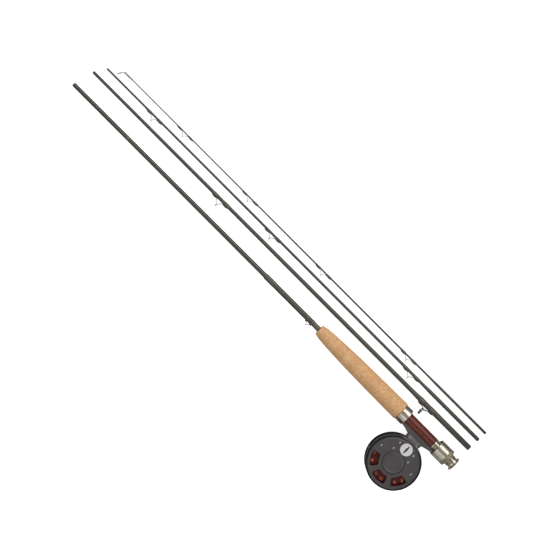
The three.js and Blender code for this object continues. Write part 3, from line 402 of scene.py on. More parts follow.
def polished_rosewood():
    """Turned rosewood, oiled and lacquered: deep red-brown with fine dark grain along it."""
    made, tree, shader, place = begin("polished_rosewood", coat_weight=0.35, coat_roughness=0.2,
                                      coat_ior=1.5, specular_ior_level=0.3)
    stretched = add(tree, "Mapping", {"Vector": place, "Scale": (0.06, 0.75, 0.75)})
    figure = add(tree, "TexNoise", {"Vector": stretched, "Scale": 1.0, "Detail": 6,
                                    "Roughness": 0.6, "Distortion": 0.8})
    base = mottled(tree, figure, 0.35, 0.68, "#4d160d", "#7e2d1c")
    fine = add(tree, "Mapping", {"Vector": place, "Scale": (0.12, 3.0, 3.0)})
    vessels = add(tree, "TexNoise", {"Vector": fine, "Scale": 1.0, "Detail": 3})
    lined = mottled(tree, vessels, 0.56, 0.68, base, "#260807", 0.8)
    dress(tree, shader, lined, vessels, 0.15, 0.00006, vessels, (0.32, 0.5))
    return made


def braided_backing():
    """Braided polyester backing line: salmon orange, matt, a herringbone of tiny plaits."""
    made, tree, shader, place = begin("braided_backing_line", sheen_weight=0.3,
                                      specular_ior_level=0.3)
    plait = add(tree, "TexNoise", {"Vector": place, "Scale": 2.4, "Detail": 3})
    base = mottled(tree, plait, 0.35, 0.65, "#b14e33", "#ec8a62")
    dress(tree, shader, base, plait, 0.4, 0.0001, plait, (0.6, 0.85))
    return made


def moulded(name, colour, paler, rough):
    """Moulded or fired part with an even skin, a little duller where it is handled."""
    made, tree, shader, place = begin(name)
    skin = add(tree, "TexNoise", {"Vector": place, "Scale": 1.6, "Detail": 4})
    base = mottled(tree, skin, 0.4, 0.7, colour, paler)
    dress(tree, shader, base, skin, 0.1, 0.00006, skin, (rough - 0.06, rough + 0.08))
    return made


CARBON = clear_coated_carbon()
# each thread's first colour is its lit silk; the second is a painted shade for the grooves between its turns
THREAD = varnished_thread("varnished_brown_thread", "#5c4a34", "#241a10")
GOLD_THREAD = varnished_thread("varnished_olive_gold_thread", "#75694a", "#312915")
CORK = natural_cork()
ROSEWOOD = polished_rosewood()
BACKING = braided_backing()
NICKEL_SILVER = turned_metal("turned_nickel_silver", "#cfc8b9", "#8f8675", 0.22)
AGED_NICKEL = turned_metal("handled_nickel_silver", "#a39a88", "#6f6655", 0.3)
STEEL = turned_metal("polished_stainless_steel", "#c4c6c8", "#8f9294", 0.2, axis="Z")
WIRE = turned_metal("chromed_steel_wire", "#a6a8ab", "#707275", 0.24, pitch=0.8)
BRONZE = turned_metal("turned_bronze", "#a97f4c", "#6e4c26", 0.32, axis="Z")
CHARCOAL = anodised_aluminium("charcoal_anodised_aluminium", "#565353", "#6b6868", 0.42)
PLATE = anodised_aluminium("charcoal_anodised_plate", "#565353", "#6b6868", 0.42,
                           black_from=RIM_INNER + 0.1)
BLACK = anodised_aluminium("black_anodised_aluminium", "#131314", "#333334", 0.36)
BADGE = anodised_aluminium("satin_silver_badge", "#e6e4e4", "#f2f1f1", 0.5, shine=0.25)
BURGUNDY = anodised_aluminium("burgundy_anodised_aluminium", "#581a19", "#84352e", 0.34)
CERAMIC = moulded("polished_grey_ceramic", "#26262a", "#34343a", 0.12)
KNOB = moulded("satin_black_phenolic", "#17171a", "#26262a", 0.34)
ENAMEL = moulded("dark_enamel", "#1c1c1f", "#2a2a2e", 0.2)
FELT = moulded("cork_drag_facing", "#b98a58", "#8f6236", 0.7)


def pale_floor():
    """Matt white acrylic of a light table, evenly lit from below."""
    made, tree, shader, _ = begin("matt_white_acrylic", specular_ior_level=0.2, roughness=0.7,
                                  emission_strength=0.9)
    where = add(tree, "TexCoord", out="Object")
    mist = add(tree, "TexNoise", {"Vector": where, "Scale": 3.0, "Detail": 2})
    base = mixed(tree, mist, "#f6f6f5", "#f9f9f9")
    for socket in ("Base Color", "Emission Color"):
        tree.links.new(base, shader.inputs[socket])
    return made


# ---------------------------------------------------------------- shapes, as (corners, faces) in mm

def is_ring(outline):
    """An outline (radius, along) that starts off the axis closes on itself."""
    return outline[0][0] > 1e-6


def eased(outline, steps=4):
    """Outline corners (radius, along, break): every break becomes a small arc."""
    result = []
    ring, count = is_ring(outline), len(outline)
    for i, corner in enumerate(outline):
        here = Vector(corner[:2])
        size = corner[2] if len(corner) > 2 else 0
        if not size or (not ring and i in (0, count - 1)):
            result.append(tuple(here))
            continue
        before = Vector(outline[i - 1][:2]) - here
        after = Vector(outline[(i + 1) % count][:2]) - here
        start = here + before.normalized() * min(size, before.length * 0.49)
        end = here + after.normalized() * min(size, after.length * 0.49)
        for k in range(steps + 1):
            t = k / steps
            result.append(tuple(start * (1 - t) ** 2 + here * 2 * t * (1 - t) + end * t * t))
    return result


def stepped(outline, step):
    """The same outline with points no further apart than step."""
    ring, points = is_ring(outline), [Vector(p) for p in outline]
    ends = points[1:] + (points[:1] if ring else [])
    result = []
    for a, b in zip(points, ends):
        parts = max(1, math.ceil((b - a).length / step))
        result += [tuple(a.lerp(b, k / parts)) for k in range(parts)]
    return result if ring else result + [tuple(points[-1])]


def turned(outline, sides=64, axis="X", relief=None):
    """Turned solid; relief(radius, along, angles) gives the radius that is really there."""
    angles = np.arange(sides) / sides * 2 * math.pi
    spots, rows = [], []
    for radius, along in outline:
        if radius < 1e-6:
            rows.append([len(spots)])
            spots.append((0.0, along, 0.0))
            continue
        rows.append(range(len(spots), len(spots) + sides))
        real = np.full(sides, radius) if relief is None else relief(radius, along, angles)
        spots += [(r, along, t) for r, t in zip(real, angles)]
    spots = np.array(spots)
    across, height = spots[:, 0] * np.cos(spots[:, 2]), spots[:, 0] * np.sin(spots[:, 2])
    order = (spots[:, 1], across, height) if axis == "X" else (across, height, spots[:, 1])
    faces = []
    for a, b in zip(rows, rows[1:] + (rows[:1] if is_ring(outline) else [])):
        for i in range(sides):
            j = (i + 1) % sides
            quad = [a[i % len(a)], a[j % len(a)], b[j % len(b)], b[i % len(b)]]
            face = list(dict.fromkeys(quad))
            if len(face) > 2:
                faces.append(face)
    return np.stack(order, axis=1), faces


def curved(points, steps):
    """A smooth line through the points."""
    p = np.array(points, float)
    p = np.vstack([2 * p[0] - p[1], p, 2 * p[-1] - p[-2]])
    result = []
    for i in range(1, len(p) - 2):
        for k in range(steps):
            t = k / steps
            a, b, c, d = p[i - 1:i + 3]
            result.append(0.5 * (2 * b + (c - a) * t + (2 * a - 5 * b + 4 * c - d) * t ** 2
                                 + (3 * b - a - 3 * c + d) * t ** 3))
    result.append(p[-2])
    return np.array(result)


def wire(line, radius, sides=10, closed=False):
    """Round wire along a line, its ends slightly domed."""
    line = np.array(line, float)
    count = len(line)
    size = np.full(count, radius) if np.isscalar(radius) else np.array(radius, float)
    if closed:
        ahead, behind = np.roll(line, -1, 0), np.roll(line, 1, 0)
    else:
        start, end = line[0] - line[1], line[-1] - line[-2]
        start, end = start / np.linalg.norm(start), end / np.linalg.norm(end)
        line = np.vstack([line[0] + start * size[0] * 0.4, line, line[-1] + end * size[-1] * 0.4])
        size = np.concatenate([[size[0] * 0.6], size, [size[-1] * 0.6]])
        count += 2
        ahead = np.vstack([line[1:], line[-1]])
        behind = np.vstack([line[0], line[:-1]])
    run = ahead - behind
    run /= np.linalg.norm(run, axis=1)[:, None]
    side = Vector(run[0]).orthogonal().normalized()
    spots = []
    for i in range(count):
        heading = Vector(run[i])
        side = (side - heading * side.dot(heading)).normalized()
        other = heading.cross(side)
        for k in range(sides):
            t = 2 * math.pi * k / sides
            spots.append(Vector(line[i]) + (side * math.cos(t) + other * math.sin(t)) * size[i])
    faces = []
    for i in range(count if closed else count - 1):
        a, b = i * sides, ((i + 1) % count) * sides
        faces += [[a + k, a + (k + 1) % sides, b + (k + 1) % sides, b + k] for k in range(sides)]
    if not closed:
        faces += [list(range(sides))[::-1], list(range((count - 1) * sides, count * sides))]
    return np.array([s[:] for s in spots]), faces


def lofted(levels):
    """Closed solid through outlines of equal point count, each a list of 3-D points."""
    count = len(levels[0])
    spots = np.array([p for level in levels for p in level], float)
    faces = [list(range(count))[::-1], list(range((len(levels) - 1) * count, len(levels) * count))]
    for i in range(len(levels) - 1):
        a, b = i * count, (i + 1) * count
        faces += [[a + k, a + (k + 1) % count, b + (k + 1) % count, b + k] for k in range(count)]
    return spots, faces


def block(half_x, half_y, low, high):
    """Upright box round the axis."""
    corners_2d = ((-half_x, -half_y), (half_x, -half_y), (half_x, half_y), (-half_x, half_y))
    return lofted([[(x, y, z) for x, y in corners_2d] for z in (low, high)])


def moved(shape, x=0.0, y=0.0, z=0.0, matrix=None):
    """The shape turned by a matrix, if one is given, and then shifted."""
    spots, faces = shape
    if matrix is not None:
        spots = np.array([(matrix @ Vector(p))[:] for p in spots])
    return spots + np.array((x, y, z)), faces


def together(*shapes):
    """Several closed shapes in one mesh."""
    spots, faces, base = [], [], 0
    for points, sides in shapes:
        spots.append(points)
        faces += [[i + base for i in face] for face in sides]
        base += len(points)
    return np.vstack(spots), faces


def plain_mesh(name, shape):
    """Mesh with no doubled corners, its faces pointing out."""
    spots, faces = shape
    mesh = bpy.data.meshes.new(name)
    mesh.from_pydata([tuple(p) for p in spots], [], faces)
    form = bmesh.new()
    form.from_mesh(mesh)
    bmesh.ops.remove_doubles(form, verts=form.verts, dist=1e-5)
    bmesh.ops.recalc_face_normals(form, faces=form.faces)
    form.to_mesh(mesh)
    form.free()
    return mesh


def carved(first, *steps):
    """The first shape with each ("DIFFERENCE" or "UNION", shape) step carried out."""
    scene = bpy.context.scene.collection
    body = bpy.data.objects.new("body", plain_mesh("body", first))
    scene.objects.link(body)
    tools = []
    for how, shape in steps:
        tool = bpy.data.objects.new("tool", plain_mesh("tool", shape))
        scene.objects.link(tool)
        tools.append(tool)
        work = body.modifiers.new(how, "BOOLEAN")
        work.operation, work.object, work.solver = how, tool, "MANIFOLD"
    bpy.context.view_layer.update()
    done = bpy.data.meshes.new_from_object(body.evaluated_get(
        bpy.context.evaluated_depsgraph_get()))
    spots = np.array([v.co[:] for v in done.vertices])
    faces = [list(p.vertices) for p in done.polygons]
    for thing in (body, *tools):
        bpy.data.objects.remove(thing)
    bpy.data.meshes.remove(done)
    return spots, faces


def piece(name, shape, matrix, body, finish, slot, *nodes, sharp=32):
    """Puts a shape in its place, riding on its body and standing for its CAD nodes."""
    mesh = plain_mesh(name, shape)
    places = np.array([v.co[:] for v in mesh.vertices], np.float32)
    mesh.attributes.new("place_mm", "FLOAT_VECTOR", "POINT").data.foreach_set(
        "vector", places.ravel())
    mesh.transform(matrix)
    mesh.shade_smooth()
    mesh.set_sharp_from_angle(angle=math.radians(sharp))
    mesh.materials.append(finish)
    made = bpy.data.objects.new(name, mesh)
    bpy.context.scene.collection.objects.link(made)
    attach(made, body)
    if nodes:
        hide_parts(*nodes)
    return made


# ---------------------------------------------------------------- blanks and their thread windings

def winding(name, matrix, body, start, end, under, feet=(), finish=THREAD, thick=0.22):
    """Thread wound on a blank from start to end, over any guide foot (start, end, height)."""
    length = end - start
    sunk, proud = under - 0.02, under + 0.01
    outline = [(sunk, -start)]
    for t in np.linspace(0, 1, max(10, int(length * 2.5))):
        rise = thick * min(1, 8 * t, 8 * (1 - t)) ** 0.5 if 0 < t < 1 else 0.0
        outline.append((proud + rise, -(start + length * t)))
    outline.append((sunk, -end))

    def over_feet(radius, along, angles):
        real = np.full(len(angles), radius)
        if radius < under:
            return real
        for foot_start, foot_end, height in feet:
            share = (-along - foot_start) / (foot_end - foot_start)
            if 0 < share < 1:
                swell = height * math.sin(math.pi * share) ** 0.35
                width = height * 0.75 / under
                real += swell * np.exp(-((angles - math.pi) / width) ** 2)
        return real

    shape = turned(outline, 40, relief=over_feet if feet else None)
    return piece(name, shape, matrix, body, finish, "thread")


def butt_section():
    """The blank with the grip: tube, second skin, and the windings in front of the grip."""
    bore, floor_of_tip = BUTT_TIP - WALL, -BUTT_LENGTH + TIP_BORE_DEPTH
    socket, socket_floor = BUTT_RADIUS - 1, -25
    blank = [(0, floor_of_tip), (bore, floor_of_tip), (bore, -BUTT_LENGTH),
             (BUTT_TIP, -BUTT_LENGTH, 0.25), (BUTT_RADIUS, -BUTT_TAPER_END),
             (BUTT_RADIUS, -CAP_LENGTH - GAP), (socket, -CAP_LENGTH - GAP),
             (socket, socket_floor), (0, socket_floor)]
    piece("butt_blank_tube", turned(eased(blank), 40), BUTT, "root", CARBON, "carbon_blank",
          "butt_blank")
    seat = BUTT_RADIUS + GAP / 2
    sleeve = [(seat, -SLEEVE_END), (SLEEVE_RADIUS - 0.35, -SLEEVE_END, 0.2),
              (SLEEVE_RADIUS, -SLEEVE_END + 4), (SLEEVE_RADIUS, -SLEEVE_START, 0.15),
              (seat, -SLEEVE_START)]
    piece("butt_sleeve_skin", turned(eased(sleeve), 40), BUTT, "root", CARBON,
          "carbon_blank", "butt_sleeve")

    # thread wound close at the front of the grip, turn beside turn
    turn_pitch, turn_height = 0.5, 0.09
    coil = [(seat, -WINDING_START)]
    for k in range(round((WINDING_END - WINDING_START) / turn_pitch)):
        for share in (0.02, 0.25, 0.5, 0.75):
            drop = turn_height - turn_height * math.sin(math.pi * share)
            coil.append((WINDING_RADIUS - drop, -WINDING_START - (k + share) * turn_pitch))
    coil.append((seat, -WINDING_END))
    piece("grip_thread_winding", turned(coil, 40), BUTT, "root", GOLD_THREAD, "thread",
          "grip_winding", sharp=70)
    winding("sleeve_end_band", BUTT, "root", 350.5, 369.2, SLEEVE_RADIUS, thick=0.16)
    winding("alignment_band", BUTT, "root", 637.0, 641.0, BUTT_TIP + 0.115, finish=GOLD_THREAD,
            thick=0.16)


def taper(size, distance):
    """Radius of a loose blank at a distance from its thick end."""
    body_end = FERRULE_LENGTH + FERRULE_FLARE
    if distance < FERRULE_LENGTH:
        return size["ferrule"]
    if distance < body_end:
        share = (distance - FERRULE_LENGTH) / FERRULE_FLARE
        return size["ferrule"] + (size["body"] - size["ferrule"]) * share
    share = (distance - body_end) / (size["length"] - body_end)
    return size["body"] + (size["tip"] - size["body"]) * share


def loose_blank(key):
    """Tube of a loose section, with a swelled socket at its thick end."""
    size = SECTIONS[key]
    hollow, thin_end = max(0.3, size["tip"] - WALL), -size["length"]
    outline = [(0, thin_end + TIP_BORE_DEPTH), (hollow, thin_end + TIP_BORE_DEPTH),
               (hollow, thin_end), (size["tip"], thin_end, 0.15)]
    body_end = FERRULE_LENGTH + FERRULE_FLARE
    for k in range(9):
        share = k / 8
        distance = body_end - FERRULE_FLARE * share
        ease = share * share * (3 - 2 * share)
        outline.append((size["body"] + (size["ferrule"] - size["body"]) * ease, -distance))
    outline += [(size["ferrule"], 0, 0.3), (size["bore"], 0, 0.15),
                (size["bore"], -FERRULE_DEPTH), (0, -FERRULE_DEPTH)]
    piece(f"{key}_blank_tube", turned(eased(outline), 40), LOOSE[key], LOOSE_BODY[key], CARBON,
          "carbon_blank", f"{key}_blank")


# ------------------------------------------------------------------ guides

def loop_line(under, standoff, loop, thick, foot, reach, steps=9):
    """Centre line of a snake-like guide: two feet along the blank and a loop across it."""
    seat = -(under + GAP / 2 + thick)
    top = -(standoff - thick)
    middle = seat + (top - seat) * 0.52
    high = top * 0.86 + middle * 0.14
    return curved([(-reach - foot, seat, 0), (-reach - foot * 0.5, seat, 0), (-reach, seat, 0),
                   (-1, middle, loop * 0.86), (-0.5, high, loop * 0.62), (0, top, 0),
                   (0.5, high, -loop * 0.62), (1, middle, -loop * 0.86), (reach, seat, 0),
                   (reach + foot * 0.5, seat, 0), (reach + foot, seat, 0)], steps)


def guide_windings(name, matrix, body, size, place, inner, outer, thick):
    """The two windings that bind a guide's feet to the blank."""
    spare = 1.5  # thread beyond the foot, before and after it together
    for label, near, before in (("rear", place - outer - spare, 0.9),
                                ("front", place + inner, 0.6)):
        far = near + outer - inner + spare
        under = max(taper(size, near), taper(size, far))
        foot = (near + before, far - spare + before, 2 * thick + GAP / 2)
        winding(f"{name}_{label}_winding", matrix, body, near, far, under, [foot])


def snake_guides():
    for name, key, place, standoff, loop, thick in SNAKE_GUIDES:
        size = SECTIONS[key]
        under = taper(size, place - GUIDE_REACH - GUIDE_FOOT)
        line = loop_line(under, standoff, loop, thick, GUIDE_FOOT, GUIDE_REACH)
        # the feet are ground flat and thin towards their ends
        away = np.abs(line[:, 0])
        slim = np.clip((GUIDE_REACH + GUIDE_FOOT - away) / GUIDE_FOOT, 0, 1)
        radius = thick * (0.45 + 0.55 * np.clip(slim * 1.6, 0, 1))
        piece(f"{name}_wire", moved(wire(line, radius, 12), x=-place), LOOSE[key],
              LOOSE_BODY[key], WIRE, "steel", name)
        guide_windings(name, LOOSE[key], LOOSE_BODY[key], size, place, GUIDE_REACH + 0.4,
                       GUIDE_REACH + GUIDE_FOOT + 0.6, thick)
    keeper = loop_line(SLEEVE_RADIUS, KEEPER_STANDOFF, 2.2, 0.5, 3.0, 2.4)
    piece("hook_keeper_wire", moved(wire(keeper, 0.5, 12), x=-KEEPER_PLACE), BUTT, "root", WIRE,
          "nickel_silver", "hook_keeper")
    for label, start in (("rear", KEEPER_PLACE - 6.0), ("front", KEEPER_PLACE + 2.6)):
        winding(f"keeper_{label}_winding", BUTT, "root", start, start + 3.4, SLEEVE_RADIUS,
                [(start + 0.1, start + 3.3, 1.1)])


def stripping_guide():
    """Two-footed frame with a ceramic ring, standing off the thick end of the second section."""
    size = SECTIONS["second"]
    thick = 0.7
    seat = -(size["ferrule"] + GAP / 2 + thick)
    centre = -STRIPPER_STANDOFF
    hoop = turned(eased([(4.5, -0.9, 0.3), (5.2, -0.9, 0.35), (5.2, 0.9, 0.35),
                         (4.5, 0.9, 0.3)]), 48)

    def on_hoop(turn, x=0.0):
        reach = STRIPPER_RADIUS - 0.1
        return np.array((x, centre + reach * math.cos(math.radians(turn)),
                         reach * math.sin(math.radians(turn))))

    def leg(turn, away):
        rim = on_hoop(turn)
        landing = np.array((away * 7.0, seat, 0))
        line = curved([rim, rim + (landing - rim) * 0.55, (away * 7.5, seat, 0),
                       (away * 10, seat, 0), (away * 15, seat, 0)], 9)
        slim = np.clip((15.2 - np.abs(line[:, 0])) / 6, 0.4, 1)
        return wire(line, thick * slim, 12)

    short = curved([on_hoop(0), (-1.6, seat - 0.6, 0), (-4, seat, 0), (-11, seat, 0)], 9)
    short_leg = wire(short, thick * np.clip((11.2 - np.abs(short[:, 0])) / 5, 0.4, 1), 12)
    shape = carved(moved(hoop, y=centre), ("UNION", leg(48, 1)), ("UNION", leg(-48, 1)),
                   ("UNION", short_leg))
    piece("stripping_guide_frame", moved(shape, x=-STRIPPER_PLACE), LOOSE["second"],
          "second_section", WIRE, "steel", "stripping_guide")
    insert = turned(eased([(3.75, -0.8, 0.3), (4.0, -1.2, 0.2), (4.35, -1.2, 0.15),
                           (4.35, 1.2, 0.15), (4.0, 1.2, 0.2), (3.75, 0.8, 0.3)]), 48)
    piece("stripping_ceramic_ring", moved(insert, x=-STRIPPER_PLACE, y=centre), LOOSE["second"],
          "second_section", CERAMIC, "ceramic", "stripping_ring")
    for label, ends, foot in (("rear", (-16.5, -7.6), (-15.6, -7.8)),
                              ("front", (4.2, 12.6), (4.4, 11.8))):
        start, end, foot_start, foot_end = (STRIPPER_PLACE + x for x in (*ends, *foot))
        winding(f"stripping_{label}_winding", LOOSE["second"], "second_section", start, end,
                size["ferrule"], [(foot_start, foot_end, 1.35)])


def tip_top():
    """Tube over the thin end, and a wire ring held out on two arms."""
    size = SECTIONS["tip"]
    inner = size["tip"] + GAP
    outer = inner + 0.4
    tube = turned(eased([(0, -1.2), (outer * 0.7, -1.2, 0.3), (outer, 0, 0.3), (outer, 9, 0.15),
                         (inner, 9, 0.1), (inner, -0.3), (0, -0.3)]), 24)
    forward, drop, ring, thick = 5.2, 6.4, 2.9, 0.42
    tilt = math.atan2(forward, drop) * 0.9
    angles = np.arange(48) / 48 * 2 * math.pi
    hoop = [(0, ring * math.cos(t), ring * math.sin(t)) for t in angles]
    lean = Matrix.Translation((-forward, -drop, 0)) @ Matrix.Rotation(-tilt, 4, "Z")
    loop = moved(wire(hoop, thick, 10, closed=True), matrix=lean)

    def arm(side):
        return wire(curved([(3, -outer * 0.3, side * outer * 0.8),
                            (0.5, -outer * 0.4, side * outer * 0.9),
                            (-forward * 0.55, -drop * 0.45, side * 2.0),
                            (-forward, -drop, side * ring)], 8), thick, 10)

    shape = carved(tube, ("UNION", loop), ("UNION", arm(1)), ("UNION", arm(-1)))
    piece("tip_top_ring", moved(shape, x=-size["length"]), LOOSE["tip"], "tip_section", WIRE,
          "steel", "tip_top")
    winding("tip_top_winding", LOOSE["tip"], "tip_section", size["length"] - 15.5,
            size["length"] - 9.2, size["tip"] + 0.01)


# ------------------------------------------------------------------ grip and reel seat

def knurl(start, end):
    """Diamond knurling of a hood between two places, as a relief for turned()."""
    teeth = round(2 * math.pi * HOOD_RADIUS / KNURL_PITCH)

    def relief(r, along, angles):
        edge = min(-along - start, end + along)
        if r < HOOD_RADIUS - 0.3 or edge <= 0:
            return np.full(len(angles), r)
        round_it, along_it = angles * teeth / (2 * math.pi), along / KNURL_PITCH
        left = np.abs((round_it + along_it) % 1 - 0.5)
        right = np.abs((round_it - along_it) % 1 - 0.5)
        groove = np.clip((0.75 - 2 * np.minimum(left, right)) * 1.6, 0, 1)
        return r - KNURL_DEPTH * min(1.0, edge / 0.4) * groove

    return relief


def cork_grip():
    """Slim at the front and full at the rear, with pores and the joints of its rings."""
    front, rear = -GRIP_END, -GRIP_START
    rise = GRIP_RADIUS - GRIP_FRONT
    skin = curved([(GRIP_FRONT, front + 2, 0), (GRIP_FRONT + rise * 0.3, front + 11.2, 0),
                   (GRIP_FRONT + rise * 0.6, front + 36.8, 0),
                   (GRIP_FRONT + rise * 0.86, front + 80, 0), (GRIP_RADIUS, rear - 8, 0),
                   (GRIP_RADIUS, rear - 0.4, 0)], 12)
    bore = BUTT_RADIUS + GAP
    nose = [(bore, front), (GRIP_FRONT - 1.2, front), (GRIP_FRONT - 0.5, front + 0.3),
            (GRIP_FRONT - 0.1, front + 1.0)]
    outline = nose + [(min(p[0], GRIP_RADIUS), p[1]) for p in skin]
    outline += [(GRIP_RADIUS - 0.4, rear), (bore, rear)]
    pores = [(rng.uniform(front, rear), rng.uniform(0, 2 * math.pi), rng.uniform(0.5, 1.5),
              rng.uniform(0.4, 0.9), rng.uniform(0.1, 0.3)) for _ in range(CORK_PORES)]

    def pitted(r, along, angles):
        real = np.full(len(angles), r)
        if r < GRIP_FRONT - 0.3:
            return real
        joint = abs((-along / CORK_RING) % 1 - 0.5)
        real -= 0.06 * max(0.0, joint - 0.46) / 0.04
        for place, angle, long, wide, deep in pores:
            if abs(along - place) < long:
                away = np.abs((angles - angle + math.pi) % (2 * math.pi) - math.pi) * r
                hole = np.clip(1 - ((along - place) / long) ** 2 - (away / wide) ** 2, 0, 1)
                real -= deep * hole
        return real

    shape = turned(stepped(outline, 0.75), 110, relief=pitted)
    piece("cork_grip_rings", shape, BUTT, "root", CORK, "cork", "cork_grip", sharp=60)


def reel_seat():
    """From the cork to the butt end: fixed hood, insert, barrel, sliding hood, nut and cap."""
    over_blank, over_barrel = BUTT_RADIUS + GAP, SEAT_RADIUS + GAP
    fixed = eased([(over_blank, -SEAT_END), (HOOD_RADIUS, -SEAT_END, 0.5),
                   (HOOD_RADIUS, -SEAT_END + 2.2), (HOOD_RADIUS - 0.25, -SEAT_END + 2.5),
                   (HOOD_RADIUS - 0.25, -SEAT_END + 3.0), (HOOD_RADIUS, -SEAT_END + 3.3),
                   (HOOD_RADIUS, -FIXED_MOUTH, 0.4), (POCKET_RADIUS, -FIXED_MOUTH, 0.2),
                   (POCKET_RADIUS, -FIXED_FLOOR), (over_blank, -FIXED_FLOOR)])
    relief = knurl(FIXED_MOUTH + 1.2, SEAT_END - 3.8)
    piece("fixed_hood_cup", turned(stepped(fixed, 0.3), 200, relief=relief), BUTT, "root",
          NICKEL_SILVER, "nickel_silver", "fixed_hood")

    insert = eased([(over_blank, -INSERT_END), (SEAT_RADIUS, -INSERT_END, 0.4),
                    (SEAT_RADIUS, -INSERT_START, 0.4), (over_blank, -INSERT_START)])
    piece("rosewood_insert", turned(stepped(insert, 3), 72), BUTT, "root", ROSEWOOD,
          "rosewood", "seat_insert")

    crest, start, end = SEAT_RADIUS - 0.1, INSERT_START - GAP, CAP_LENGTH + GAP
    barrel = eased([(over_blank, -start), (crest, -start, 0.4), (crest, -end, 0.5),
                    (over_blank, -end)])

    def thread(r, along, angles):
        if r < crest - 0.6 or -along > start - 1.4 or -along < end + 0.8:
            return np.full(len(angles), r)
        wave = np.abs((along / THREAD_PITCH - angles / (2 * math.pi)) % 1 - 0.5) * 2
        return r - THREAD_DEPTH * np.clip(wave * 1.3 - 0.15, 0, 1)

    piece("threaded_seat_barrel", turned(stepped(barrel, 0.2), 80, relief=thread),
          BUTT, "root", NICKEL_SILVER, "nickel_silver", "threaded_barrel", sharp=50)

    sliding = eased([(over_barrel, -HOOD_START - 4), (POCKET_RADIUS, -HOOD_START - 4),
                     (POCKET_RADIUS, -HOOD_MOUTH, 0.2), (HOOD_RADIUS, -HOOD_MOUTH, 0.5),
                     (HOOD_RADIUS, -HOOD_START - 2.0), (HOOD_RADIUS - 0.3, -HOOD_START - 1.7),
                     (HOOD_RADIUS - 0.3, -HOOD_START - 1.2), (HOOD_RADIUS, -HOOD_START - 0.9),
                     (HOOD_RADIUS, -HOOD_START, 0.35), (over_barrel, -HOOD_START)])
    relief = knurl(HOOD_START + 3.2, HOOD_MOUTH - 2.0)
    piece("sliding_hood_cup", turned(stepped(sliding, 0.3), 200, relief=relief), BUTT,
          "sliding_hood_body", NICKEL_SILVER, "nickel_silver", "sliding_hood")

    nut = eased([(over_barrel, -NUT_END), (HOOD_RADIUS, -NUT_END, 0.5),
                 (HOOD_RADIUS, -NUT_START - 2.9, 0.1), (HOOD_RADIUS - 0.4, -NUT_START - 2.6, 0.1),
                 (HOOD_RADIUS - 0.4, -NUT_START - 2.2, 0.1), (HOOD_RADIUS, -NUT_START - 1.9, 0.1),
                 (HOOD_RADIUS, -NUT_START, 0.5), (over_barrel, -NUT_START)])

    def coin_edge(r, along, angles):
        if r < HOOD_RADIUS - 0.2:
            return np.full(len(angles), r)
        return r - NUT_TOOTH_DEPTH * np.clip(np.cos(angles * NUT_TEETH) * 1.4 - 0.3, 0, 1)

    piece("locking_ring", turned(stepped(nut, 0.4), 396, relief=coin_edge), BUTT,
          "locking_nut_body", AGED_NICKEL, "nickel_silver", "locking_nut")

    waist, spigot = SEAT_RADIUS - 0.9, BUTT_RADIUS - 1 - GAP
    cap = eased([(0, -CAP_LENGTH - 13), (spigot, -CAP_LENGTH - 13, 0.3), (spigot, -CAP_LENGTH),
                 (waist, -CAP_LENGTH, 0.2), (waist + 0.15, -CAP_LENGTH * 0.7, 1.0),
                 (waist + 0.9, -CAP_LENGTH * 0.38, 1.0), (CAP_RADIUS - 0.1, -0.95, 0.2),
                 (CAP_RADIUS, -0.6, 0.2), (CAP_RADIUS - 0.3, 0, 0.2), (CAP_RADIUS - 1.5, 0, 0.2),
                 (CAP_RADIUS - 1.8, -0.35, 0.15), (CAP_RADIUS - 2.3, -0.35, 0.15),
                 (CAP_RADIUS - 2.6, -0.1, 0.15), (1.6, -0.25, 0.1), (0.9, -0.7, 0.2), (0, -0.8)],
                steps=6)
    piece("flared_butt_cap", turned(cap, 96), BUTT, "root", NICKEL_SILVER, "nickel_silver",
          "butt_cap")


